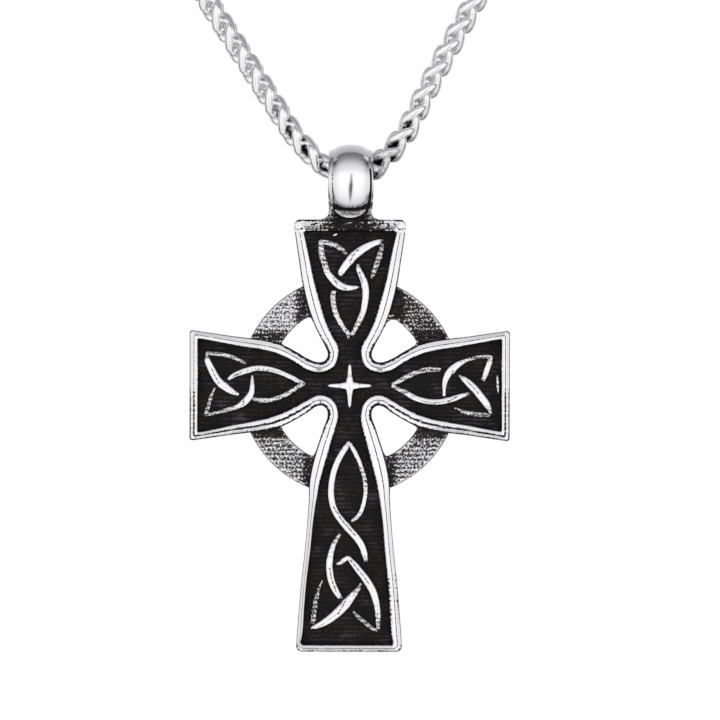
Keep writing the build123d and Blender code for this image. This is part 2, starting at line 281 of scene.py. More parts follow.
def arm_edge(arm, inward, lean):
    """Points of one edge of an arm, from the rounded corner at its end to the armpit."""
    reach, half_end, rows = ARMS[arm]
    end = reach - RIM[arm] * inward
    half = half_end - (half_end - rows[0][2]) * inward * END_NARROWING
    half += along_stations(lean, reach) * inward ** 2
    round_by = CORNER[arm] * (1 - CORNER_SHARPENING * inward)
    corner = (end, half)
    points = [("end", (end, half - round_by), corner), ("edge", (end - round_by, half), corner)]
    for along, outer, inner in rows:
        at = outer + (inner - outer) * inward + along_stations(lean, along) * inward ** 2
        points.append(("smooth", (along, at), None))
    return points


def cross_loop(inward, height, oxide_and_painted_shade=0.0):
    """A closed line round the cross, inward from its outer edge by a share of the rim."""
    ring = []
    for across, upright, up in ((1, "top", 1), (1, "foot", -1), (-1, "foot", -1), (-1, "top", 1)):
        pit = PIT_RADIUS + PIT_RIM * inward
        pit_up = PIT_UP[upright]
        upright_edge = arm_edge(upright, inward, INNER_LEAN[upright, across, up])
        quarter = [(kind, (p[1], p[0]), c and (c[1], c[0])) for kind, p, c in upright_edge]
        quarter += [("smooth", (PIT_ACROSS - pit * math.cos(a), pit_up - pit * math.sin(a)), None)
                    for a in (0.0, math.pi / 4, math.pi / 2)]
        quarter += reversed(arm_edge("side", inward, INNER_LEAN["side", across, up]))
        if across * up < 0:
            quarter.reverse()
        for kind, p, c in quarter:
            ring.append((kind, (p[0] * across, p[1] * up), c and (c[0] * across, c[1] * up)))
    line = new_line("cross_line", 10)
    spline = line.splines.new("BEZIER")
    spline.bezier_points.add(len(ring) - 1)
    spline.use_cyclic_u = True
    for i, (kind, p, c) in enumerate(ring):
        point = spline.bezier_points[i]
        point.co = (*p, height)
        if kind == "smooth":
            point.handle_left_type = "AUTO"
            point.handle_right_type = "AUTO"
            continue
        before_corner = ring[(i + 1) % len(ring)][2] == c
        toward, away = ("right", "left") if before_corner else ("left", "right")
        beyond = ring[(i - 1 if before_corner else i + 1) % len(ring)][1]
        setattr(point, f"handle_{away}_type", "FREE")
        setattr(point, f"handle_{toward}_type", "FREE")
        setattr(point, f"handle_{away}", Vector(point.co).lerp(Vector((*beyond, height)), 1 / 3))
        setattr(point, f"handle_{toward}", Vector(point.co).lerp(Vector((*c, height)), CORNER_PULL))
    loop = curve_to_mesh(line, "cross_line")
    keep_oxide_and_shade(loop, lambda corner: oxide_and_painted_shade)
    return loop


def new_line(name, resolution=12, dimensions="3D"):
    """Empty data of a curve, drawn in this many steps between two knots."""
    line = bpy.data.curves.new(name, "CURVE")
    line.dimensions = dimensions
    line.resolution_u = resolution
    return line


def keep_oxide_and_shade(piece, amount):
    """Note at each corner of a piece how much black it keeps, as oxide and as painted shade: none at 0 and
    all at 1.
    """
    layer = piece.data.attributes.get("oxide_and_painted_shade") or piece.data.attributes.new("oxide_and_painted_shade", "FLOAT", "POINT")
    for corner, item in zip(piece.data.vertices, layer.data):
        item.value = amount(corner.co)


def pick(thing):
    """Select one object alone and make it the active one."""
    bpy.ops.object.select_all(action="DESELECT")
    thing.select_set(True)
    bpy.context.view_layer.objects.active = thing


def edit_all():
    """Go into edit mode with all of the active piece selected."""
    bpy.ops.object.mode_set(mode="EDIT")
    bpy.ops.mesh.select_all(action="SELECT")


def turn_outward(merge=0.0):
    """Close the piece in edit mode at double points, where asked, and turn its faces outward."""
    bpy.ops.mesh.select_all(action="SELECT")
    if merge:
        bpy.ops.mesh.remove_doubles(threshold=merge)
    bpy.ops.mesh.normals_make_consistent(inside=False)
    bpy.ops.object.mode_set(mode="OBJECT")


def curve_to_mesh(line, name):
    """A curve's data made an object and then a mesh, which is left selected and active."""
    thing = bpy.data.objects.new(name, line)
    bpy.context.scene.collection.objects.link(thing)
    pick(thing)
    bpy.ops.object.convert(target="MESH")
    return bpy.context.view_layer.objects.active


def join(things, name):
    """Join objects into the first of them."""
    bpy.ops.object.select_all(action="DESELECT")
    for thing in things:
        thing.select_set(True)
    bpy.context.view_layer.objects.active = things[0]
    if len(things) > 1:
        bpy.ops.object.join()
    things[0].name = name
    return things[0]


def stand_up(piece, angle, *finishes):
    """Stand a piece of the lying casting up in its place, in metres, smooth below an angle."""
    pick(piece)
    piece.data.transform(Matrix.Translation((0, 0, CROSS_UP * MM)) @ Matrix.Rotation(math.pi / 2, 4, "X")
                         @ Matrix.Scale(MM, 4))
    bpy.ops.object.shade_smooth_by_angle(angle=math.radians(angle))
    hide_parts("cross_pendant")
    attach(piece, "pendant")
    for finish in finishes:
        piece.data.materials.append(finish)


strips = []
for lower, upper in zip(RIM_SECTION, RIM_SECTION[1:]):
    strip = join([cross_loop(*lower), cross_loop(*upper)], "rim_strip")
    edit_all()
    bpy.ops.mesh.bridge_edge_loops()
    bpy.ops.object.mode_set(mode="OBJECT")
    strips.append(strip)
cross_plate = join(strips, "cross_plate")
edit_all()
bpy.ops.mesh.remove_doubles(threshold=SEAM_MERGE)
for height in (-HALF_THICK, FIELD):
    bpy.ops.mesh.select_all(action="DESELECT")
    bpy.ops.mesh.select_mode(type="EDGE")
    bpy.ops.object.mode_set(mode="OBJECT")
    corners = cross_plate.data.vertices
    for edge in cross_plate.data.edges:
        edge.select = all(abs(corners[v].co.z - height) < SAME_HEIGHT for v in edge.vertices)
    bpy.ops.object.mode_set(mode="EDIT")
    bpy.ops.mesh.fill()
turn_outward()
stand_up(cross_plate, 22)

# The plate's finish, and what all finishes of the casting share.
# The steel shows the grain of the printed wax that it was cast from. It was blackened and then
# polished, so black oxide stays wherever polishing doesn't reach.
OXIDE_DARK = (0.0018, 0.0016, 0.0018, 1)
OXIDE_BROWN = (0.036, 0.022, 0.018, 1)
OXIDE_RUBBED = (0.075, 0.068, 0.080, 1)
OXIDE_ROUGHNESS = 0.6
POLISHED = (0.93, 0.93, 0.945, 1)
# The layers of the wax: how close they lie, how drawn out their waves are, and how much of the
# grain's tone they sway, about what level
ROW_SCALE = 0.71
ROW_STRETCH = (0.35, 0.35, 1.0)
ROW_SWAY = 0.4
ROW_LEVEL = 0.3
# How large the patches of brown dust and of rubbed rows are, and how much of each shows
DUST_SCALE = 0.45
DUST_FROM = 0.45
DUST_TO = 0.95
RUBBED_SCALE = 0.5
RUBBED_STRETCH = (0.9, 0.9, 1.3)
RUBBED_GRAIN = (0.7, 1.0, 9.0)
RUBBED_FROM = 1.08
RUBBED_TO = 1.38


def in_millimetres(tree, scale=(1, 1, 1)):
    """The piece's own coordinates, in millimetres times a scale."""
    place = tree.nodes.new("ShaderNodeTexCoord")
    mapping = tree.nodes.new("ShaderNodeMapping")
    mapping.inputs["Scale"].default_value = [s / MM for s in scale]
    tree.links.new(place.outputs["Object"], mapping.inputs["Vector"])
    return mapping.outputs["Vector"]


def noise(tree, vector, scale, detail=2.0, roughness=0.5):
    """A noise texture's value, at a scale that is a number or a socket."""
    node = tree.nodes.new("ShaderNodeTexNoise")
    if isinstance(scale, float):
        node.inputs["Scale"].default_value = scale
    else:
        tree.links.new(scale, node.inputs["Scale"])
    node.inputs["Detail"].default_value = detail
    node.inputs["Roughness"].default_value = roughness
    tree.links.new(vector, node.inputs["Vector"])
    return node.outputs["Fac"]


def blend(tree, factor, low, high):
    """A number or colour between two, by a factor, where a colour may be a socket."""
    is_number = isinstance(low, float)
    node = tree.nodes.new("ShaderNodeMix")
    node.data_type = "FLOAT" if is_number else "RGBA"
    tree.links.new(factor, node.inputs["Factor"])
    first = 2 if is_number else 6
    for socket, value in zip(node.inputs[first:first + 2], (low, high)):
        if isinstance(value, (float, tuple)):
            socket.default_value = value
        else:
            tree.links.new(value, socket)
    return node.outputs[first // 3]


wax_grain = bpy.data.node_groups.new("wax_grain", "ShaderNodeTree")
for name, side, value in (("Lines", "INPUT", 1.0), ("Specks", "INPUT", 1.0), ("Fine", "INPUT", 5.0),
                          ("Height", "OUTPUT", 0.0), ("Tone", "OUTPUT", 0.0)):
    socket = wax_grain.interface.new_socket(name=name, in_out=side, socket_type="NodeSocketFloat")
    socket.default_value = value
grain_in = wax_grain.nodes.new("NodeGroupInput")
grain_out = wax_grain.nodes.new("NodeGroupOutput")
rows = wax_grain.nodes.new("ShaderNodeTexWave")
rows.bands_direction = "Z"
rows.inputs["Scale"].default_value = ROW_SCALE
rows.inputs["Distortion"].default_value = 3.0
rows.inputs["Detail"].default_value = 2.0
rows.inputs["Detail Scale"].default_value = 3.0
wax_grain.links.new(in_millimetres(wax_grain, ROW_STRETCH), rows.inputs["Vector"])
line_noise = calc(wax_grain, "MULTIPLY_ADD", rows.outputs["Fac"], ROW_SWAY, ROW_LEVEL)
speck_noise = noise(wax_grain, in_millimetres(wax_grain), grain_in.outputs["Fine"], roughness=0.6)
line_part = calc(wax_grain, "MULTIPLY", line_noise, grain_in.outputs["Lines"])
speck_part = calc(wax_grain, "MULTIPLY", speck_noise, grain_in.outputs["Specks"])
both = calc(wax_grain, "ADD", line_part, speck_part)
wax_grain.links.new(both, grain_out.inputs["Height"])
total = calc(wax_grain, "ADD", grain_in.outputs["Lines"], grain_in.outputs["Specks"])
wax_grain.links.new(calc(wax_grain, "DIVIDE", both, total), grain_out.inputs["Tone"])


def grain_of_wax(tree, lines, specks, fine):
    """The grain of the wax in a finish: how strong its lines and specks are, and how fine the specks."""
    node = tree.nodes.new("ShaderNodeGroup")
    node.node_tree = wax_grain
    node.inputs["Lines"].default_value = lines
    node.inputs["Specks"].default_value = specks
    node.inputs["Fine"].default_value = fine
    return node


def casting_finish(name, lines=0.4, specks=1.0, fine=6.0, ragged=2.2, edge=0.07, polish=0.14,
                   depth=0.006, steel=POLISHED, metal=1.0):
    """Polished steel, black where a piece keeps oxide and where it has painted shade, ragged by the grain
    of the wax.

    The grain has its lines, specks and fineness. The oxide's border is ragged by it, and its edge
    is as soft as told. The steel has its polish (a roughness), its grain's depth in millimetres,
    its colour, and how much of it is bare metal.
    """
    finish = bpy.data.materials.new(name)
    finish.use_nodes = True
    tree = finish.node_tree
    shader = tree.nodes["Principled BSDF"]
    grain = grain_of_wax(tree, lines, specks, fine)
    kept = tree.nodes.new("ShaderNodeAttribute")
    kept.attribute_name = "oxide_and_painted_shade"
    wander = calc(tree, "MULTIPLY", calc(tree, "SUBTRACT", grain.outputs["Tone"], 0.5), ragged)
    black = step_between(tree, calc(tree, "ADD", kept.outputs["Fac"], wander), 0.5 - edge, 0.5 + edge)
    patches = noise(tree, in_millimetres(tree), DUST_SCALE, detail=3.0)
    dust = step_between(tree, calc(tree, "ADD", patches, wander), DUST_FROM, DUST_TO)
    places = noise(tree, in_millimetres(tree, RUBBED_STRETCH), RUBBED_SCALE)
    rubbed = calc(tree, "ADD", grain_of_wax(tree, *RUBBED_GRAIN).outputs["Tone"], places)
    soot = blend(tree, step_between(tree, rubbed, RUBBED_FROM, RUBBED_TO),
                 blend(tree, dust, OXIDE_DARK, OXIDE_BROWN), OXIDE_RUBBED)
    tree.links.new(blend(tree, black, steel, soot), shader.inputs["Base Color"])
    tree.links.new(blend(tree, black, polish, OXIDE_ROUGHNESS), shader.inputs["Roughness"])
    tree.links.new(blend(tree, black, metal, 0.0), shader.inputs["Metallic"])
    shader.inputs["Specular IOR Level"].default_value = 0.2
    bump = tree.nodes.new("ShaderNodeBump")
    bump.inputs["Distance"].default_value = depth * MM
    tree.links.new(grain.outputs["Height"], bump.inputs["Height"])
    tree.links.new(bump.outputs["Normal"], shader.inputs["Normal"])
    return finish


# Heights on the rim: its foot, the tops of its low lines and of its low flanks, and its crest's foot
RIM_FOOT = 0.5
LINES_TOP = 1.24
LOW_FLANKS_TOP = 1.285
CREST_FOOT = 1.37
# The pitted rim along the top: how far in its outer line and its outer flank reach, as shares of
# it, and the oxide of its line and both flanks. Under the saddle it has painted shade, and it is
# barer towards the corners.
TOP_RIM_FOOT = 15.3
TOP_LINE = 0.2
TOP_FLANK = 0.72
TOP_LINE_OXIDE = 0.7
TOP_FLANK_OXIDE = 0.46
TOP_INNER_OXIDE = 0.62
SHADE_MIDDLE = 0.1
SHADE_FROM = 1.8
SHADE_TO = 2.8
SHADE_LINE_OXIDE = 0.3
SHADE_FLANK_OXIDE = 0.5
CORNERS_FROM = 3.6
CORNERS_TO = 4.8
CORNERS_BARER = 0.35
# Two pitted patches low on the foot's rim, along its end and at its right
FOOT_PATCH_UP = -25.7
FOOT_PATCH_TOP = 1.29
FOOT_PATCH_OXIDE = 0.4
RIGHT_PATCH_ACROSS = (3.5, 5.0)
RIGHT_PATCH_UP = (-24, -18.5)
RIGHT_PATCH_TOP = 1.32
RIGHT_PATCH_OXIDE = 0.42
# Painted shade along the lower rims of the side arms, as black lines: how low and how far out they are
LOW_RIM_LOWEST = -6
LOW_RIM_FROM = 3.2
LOW_RIM_SHADE = 0.8
# The black outline beside the windows: how far it reaches from an armpit, at most and elsewhere,
# and how it fades out on the low lines and on the flanks
OUTLINE_LONG = 5.5
OUTLINE_SHORT = 3.2
OUTLINE_FADE = 2.1
FLANK_FADE = 0.3
FLANK_OXIDE = 0.62


def top_rim_oxide_and_shade(corner):
    """Oxide on the pitted rim along the top of the cross, and painted shade under the saddle."""
    inward = (ARMS["top"][0] - corner.y) / RIM["top"]
    # Painted shade under the saddle
    by_saddle = 1 - ramp(abs(corner.x - SHADE_MIDDLE), SHADE_FROM, SHADE_TO)
    if inward < TOP_LINE:
        return TOP_LINE_OXIDE + SHADE_LINE_OXIDE * by_saddle
    flank = TOP_FLANK_OXIDE if inward < TOP_FLANK else TOP_INNER_OXIDE
    by_corner = ramp(abs(corner.x), CORNERS_FROM, CORNERS_TO)
    return flank + SHADE_FLANK_OXIDE * by_saddle - CORNERS_BARER * by_corner


def rim_oxide_and_shade(corner, kept):
    """Oxide on the plate: what its section keeps, and more in the pitted parts of the rim, with painted
    shade under the saddle and along the side arms' lower rims.
    """
    across, up, height = corner
    if height < RIM_FOOT:
        return kept
    if up > TOP_RIM_FOOT:
        return top_rim_oxide_and_shade(corner)
    if up < FOOT_PATCH_UP and height < FOOT_PATCH_TOP:
        return max(kept, FOOT_PATCH_OXIDE)
    in_right_patch = (RIGHT_PATCH_ACROSS[0] < across < RIGHT_PATCH_ACROSS[1]
                      and RIGHT_PATCH_UP[0] < up < RIGHT_PATCH_UP[1])
    if in_right_patch and height < RIGHT_PATCH_TOP:
        return max(kept, RIGHT_PATCH_OXIDE)
    # Painted shade along the lower rims of the side arms
    if LOW_RIM_LOWEST < up < 0 and (height > CREST_FOOT or height < LINES_TOP):
        kept = max(kept, LOW_RIM_SHADE * ramp(abs(across), LOW_RIM_FROM, LOW_RIM_FROM + 1))
    pit_up = PIT_UP["top"] if up > 0 else PIT_UP["foot"]
    from_pit = math.hypot(abs(across) - PIT_ACROSS, abs(up) - pit_up)
    reach = OUTLINE_LONG if up > 0 and abs(across) > up else OUTLINE_SHORT
    fade_from = reach - OUTLINE_FADE
    if height < LINES_TOP:
        return max(kept, 1 - ramp(from_pit, fade_from, reach))
    if height < LOW_FLANKS_TOP:
        return max(kept, FLANK_OXIDE * (1 - ramp(from_pit, fade_from, fade_from + FLANK_FADE)))
    return kept


plate_oxide_and_shade = cross_plate.data.attributes["oxide_and_painted_shade"]
for corner, item in zip(cross_plate.data.vertices, plate_oxide_and_shade.data):
    lying = Vector((corner.co.x, corner.co.z, -corner.co.y)) / MM - Vector((0, CROSS_UP, 0))
    item.value = rim_oxide_and_shade(lying, item.value)
BACK_STEEL = (0.74, 0.74, 0.75, 1)
cross_plate.data.materials.append(casting_finish("rim_and_field", ragged=2.1, edge=0.07, depth=0.012))
cross_plate.data.materials.append(casting_finish("pitted_top_rim", lines=0.3, fine=3.0, ragged=4.0,
                                                 edge=0.12, depth=0.02))
cross_plate.data.materials.append(casting_finish("brushed_back", lines=0.8, fine=3.5, ragged=2.6, edge=0.3,
                                                 polish=0.34, depth=0.03, steel=BACK_STEEL))
# The pitted finish is on the front of the top rim alone, and the brushed one on what faces back
TOP_RIM_FRONT = -1.0
for face in cross_plate.data.polygons:
    middle = face.center / MM
    if middle.z - CROSS_UP > TOP_RIM_FOOT and middle.y < TOP_RIM_FRONT:
        face.material_index = 1
    if face.normal.y > 0.5:
        face.material_index = 2

# The nimbus ring.
# A flat ring cast in one with the arms, lower than their rim, in four quarters between them.
# It is only brushed, so the layers of the wax still show across it as fine level lines.
RING_OUTER = 11.0
RING_INNER = 8.05
RING_FRONT = 0.62
RING_BACK = -1.05
RING_BEVEL = 0.12
RING_STEPS = 240
FRONT_STRIPS = 12
POINT_MERGE = 1e-4
# The outline of the arms, which is cut out of the ring: how far in on their rim, and its depth
ARMS_INWARD = 0.5
ARMS_FROM = -3
ARMS_DEEP = 6
front_from = RING_INNER + RING_BEVEL
front_to = RING_OUTER - RING_BEVEL
ring_profile = [(RING_INNER, RING_BACK + RING_BEVEL), (RING_INNER, RING_FRONT - RING_BEVEL)]
ring_profile += [(front_from + (front_to - front_from) * k / FRONT_STRIPS, RING_FRONT)
                 for k in range(FRONT_STRIPS + 1)]
ring_profile += [(RING_OUTER, RING_FRONT - RING_BEVEL), (RING_OUTER, RING_BACK + RING_BEVEL),
                 (RING_OUTER - RING_BEVEL, RING_BACK), (RING_INNER + RING_BEVEL, RING_BACK)]


def spin_section(section, name, axis, steps, closed=True):
    """Spin a section, given as points, once round an axis through the origin."""
    bpy.ops.mesh.primitive_plane_add(size=1, location=(0, 0, 0))
    spun = bpy.context.object
    spun.name = name
    edit_all()
    bpy.ops.mesh.delete(type="VERT")
    bpy.ops.object.mode_set(mode="OBJECT")
    edges = [(i, i + 1) for i in range(len(section) - 1)]
    if closed:
        edges.append((len(section) - 1, 0))
    spun.data.from_pydata([Vector(p) for p in section], edges, [])
    edit_all()
    bpy.ops.mesh.spin(steps=steps, angle=2 * math.pi, center=(0, 0, 0), axis=axis)
    turn_outward(merge=POINT_MERGE)
    return spun


def cut_away(piece, knife):
    """Cut a solid out of a piece, and delete the solid."""
    bpy.context.view_layer.objects.active = piece
    cut = piece.modifiers.new("cut", "BOOLEAN")
    cut.operation = "DIFFERENCE"
    cut.object = knife
    bpy.ops.object.modifier_apply(modifier=cut.name)
    bpy.data.objects.remove(knife)


nimbus = spin_section([(r, 0, h) for r, h in ring_profile], "nimbus_ring", (0, 0, 1), RING_STEPS)
arms = cross_loop(ARMS_INWARD, ARMS_FROM)
edit_all()
bpy.ops.mesh.fill()
bpy.ops.mesh.select_all(action="SELECT")
bpy.ops.mesh.extrude_region_move(TRANSFORM_OT_translate={"value": (0, 0, ARMS_DEEP)})
turn_outward()
cut_away(nimbus, arms)

# Oxide on the ring: on its walls, along its edges, and across its face, which is barer at its
# upper left and blacker at its upper right
WALL_DEEP = 0.3
WALL_OXIDE = 0.25
EDGE_OXIDE = 0.1
EDGE_FROM = 0.1
EDGE_TO = 0.3
FACE_OXIDE = 0.59
UPPER_FROM = 7
UPPER_TO = 13
UPPER_LEFT_BARER = 0.19
UPPER_RIGHT_BLACKER = 0.26
# Painted shade beside the arms, which stand above the ring: where the side arms and the upright
# end beside the ring, above the middle and below it, and how far from there it is black
ARMS_ABOVE = (4.95, 4.9)
ARMS_BELOW = (4.75, 4.1)
BESIDE_FROM = 0.1
BESIDE_TO = 0.75
ARM_SHADE = 0.7
RING_STEEL = (0.85, 0.85, 0.87, 1)


def ring_oxide_and_shade(corner):
    """Oxide on the ring, half worn off and least at its upper left, with painted shade beside the arms."""
    if corner.z < RING_FRONT - WALL_DEEP:
        return WALL_OXIDE
    side_arm, upright_arm = ARMS_ABOVE if corner.y > 0 else ARMS_BELOW
    from_arm = min(abs(corner.y) - side_arm, abs(corner.x) - upright_arm)
    # Painted shade beside the arms
    beside = 1 - ramp(from_arm, BESIDE_FROM, BESIDE_TO)
    upper_left = ramp(corner.y - corner.x, UPPER_FROM, UPPER_TO)
    upper_right = ramp(corner.y + corner.x, UPPER_FROM, UPPER_TO)
    face = FACE_OXIDE - UPPER_LEFT_BARER * upper_left + UPPER_RIGHT_BLACKER * upper_right
    out = corner.to_2d().length
    edge = max(ramp(out, RING_OUTER - EDGE_TO, RING_OUTER - EDGE_FROM),
               1 - ramp(out, RING_INNER + EDGE_FROM, RING_INNER + EDGE_TO))
    return face * (1 - edge) + EDGE_OXIDE * edge + ARM_SHADE * beside


keep_oxide_and_shade(nimbus, ring_oxide_and_shade)
ring_finish = casting_finish("brushed_ring", lines=0.32, fine=5.0, ragged=5.0, edge=0.33, polish=0.30,
                             depth=0.05, steel=RING_STEEL)
stand_up(nimbus, 30, ring_finish)

# The webs in the windows' corners.
# Small webs of metal that the casting left where the ring runs into an arm: each is a flat drop
# with a hollow side to the window, sunk into both. Their radii, by quarter, are first the one
# beside the upright and then the one beside the side arm.
WEBS = {(-1, 1): (0.4, 0.15), (1, 1): (0.9, 0.5), (-1, -1): (0.35, 0.15), (1, -1): (0.35, 0.3)}
WEB_SINK = 0.35
WEB_FRONT = RING_FRONT - 0.06
WEB_BEVEL = 0.04
WEB_INSET = 0.05
WEB_OXIDE = 0.75
# How far a web's handles reach: along its hollow side towards the corner, and along its sunk sides
WEB_HOLLOW = 0.6
WEB_SUNK = 0.3


def draw_knots(line, knots, closed=False):
    """Add a line to a curve's data, given as each knot's place and its left and right handle."""
    spline = line.splines.new("BEZIER")
    spline.bezier_points.add(len(knots) - 1)
    spline.use_cyclic_u = closed
    for knot, (place, left, right) in zip(spline.bezier_points, knots):
        knot.handle_left_type = "FREE"
        knot.handle_right_type = "FREE"
        knot.co = place
        knot.handle_left = left
        knot.handle_right = right


outline = cross_loop(0.0, 0.0)
outline_points = [corner.co.copy() for corner in outline.data.vertices]
bpy.data.objects.remove(outline)
webs = []
for here, there in zip(outline_points, outline_points[1:] + outline_points[:1]):
    if (here.length - RING_INNER) * (there.length - RING_INNER) >= 0:
        continue
    if here.length < there.length:
        here, there = there, here
    corner = here.lerp(there, (here.length - RING_INNER) / (here.length - there.length))
    beside_upright = abs(corner.y) > abs(corner.x)
    quarter = (1 if corner.x > 0 else -1, 1 if corner.y > 0 else -1)
    radius = WEBS[quarter][0 if beside_upright else 1]
    down_arm = (there - here).normalized()
    round_ring = Vector((-corner.y, corner.x, 0)).normalized()
    toward_arm = corner.x if beside_upright else corner.y
    if (round_ring.x if beside_upright else round_ring.y) * toward_arm < 0:
        round_ring = -round_ring
    run = radius / math.tan(down_arm.angle(round_ring) / 2)
    start = corner + round_ring * run
    end = corner + down_arm * run
    back = corner - (round_ring + down_arm) * WEB_SINK
    line = new_line("window_web", dimensions="2D")
    line.fill_mode = "BOTH"
    line.extrude = (WEB_FRONT - RING_BACK) / 2 - WEB_INSET
    line.bevel_depth = WEB_BEVEL
    draw_knots(line, ((start, start.lerp(back, WEB_SUNK), start.lerp(corner, WEB_HOLLOW)),
                      (end, end.lerp(corner, WEB_HOLLOW), end.lerp(back, WEB_SUNK)),
                      (back, back.lerp(end, WEB_SUNK), back.lerp(start, WEB_SUNK))), closed=True)
    web = curve_to_mesh(line, "window_web")
    web.data.transform(Matrix.Translation((0, 0, (WEB_FRONT + RING_BACK) / 2)))
    webs.append(web)
window_webs = join(webs, "window_webs")
edit_all()
turn_outward(merge=POINT_MERGE)
keep_oxide_and_shade(window_webs, lambda corner: WEB_OXIDE)
stand_up(window_webs, 40, ring_finish)
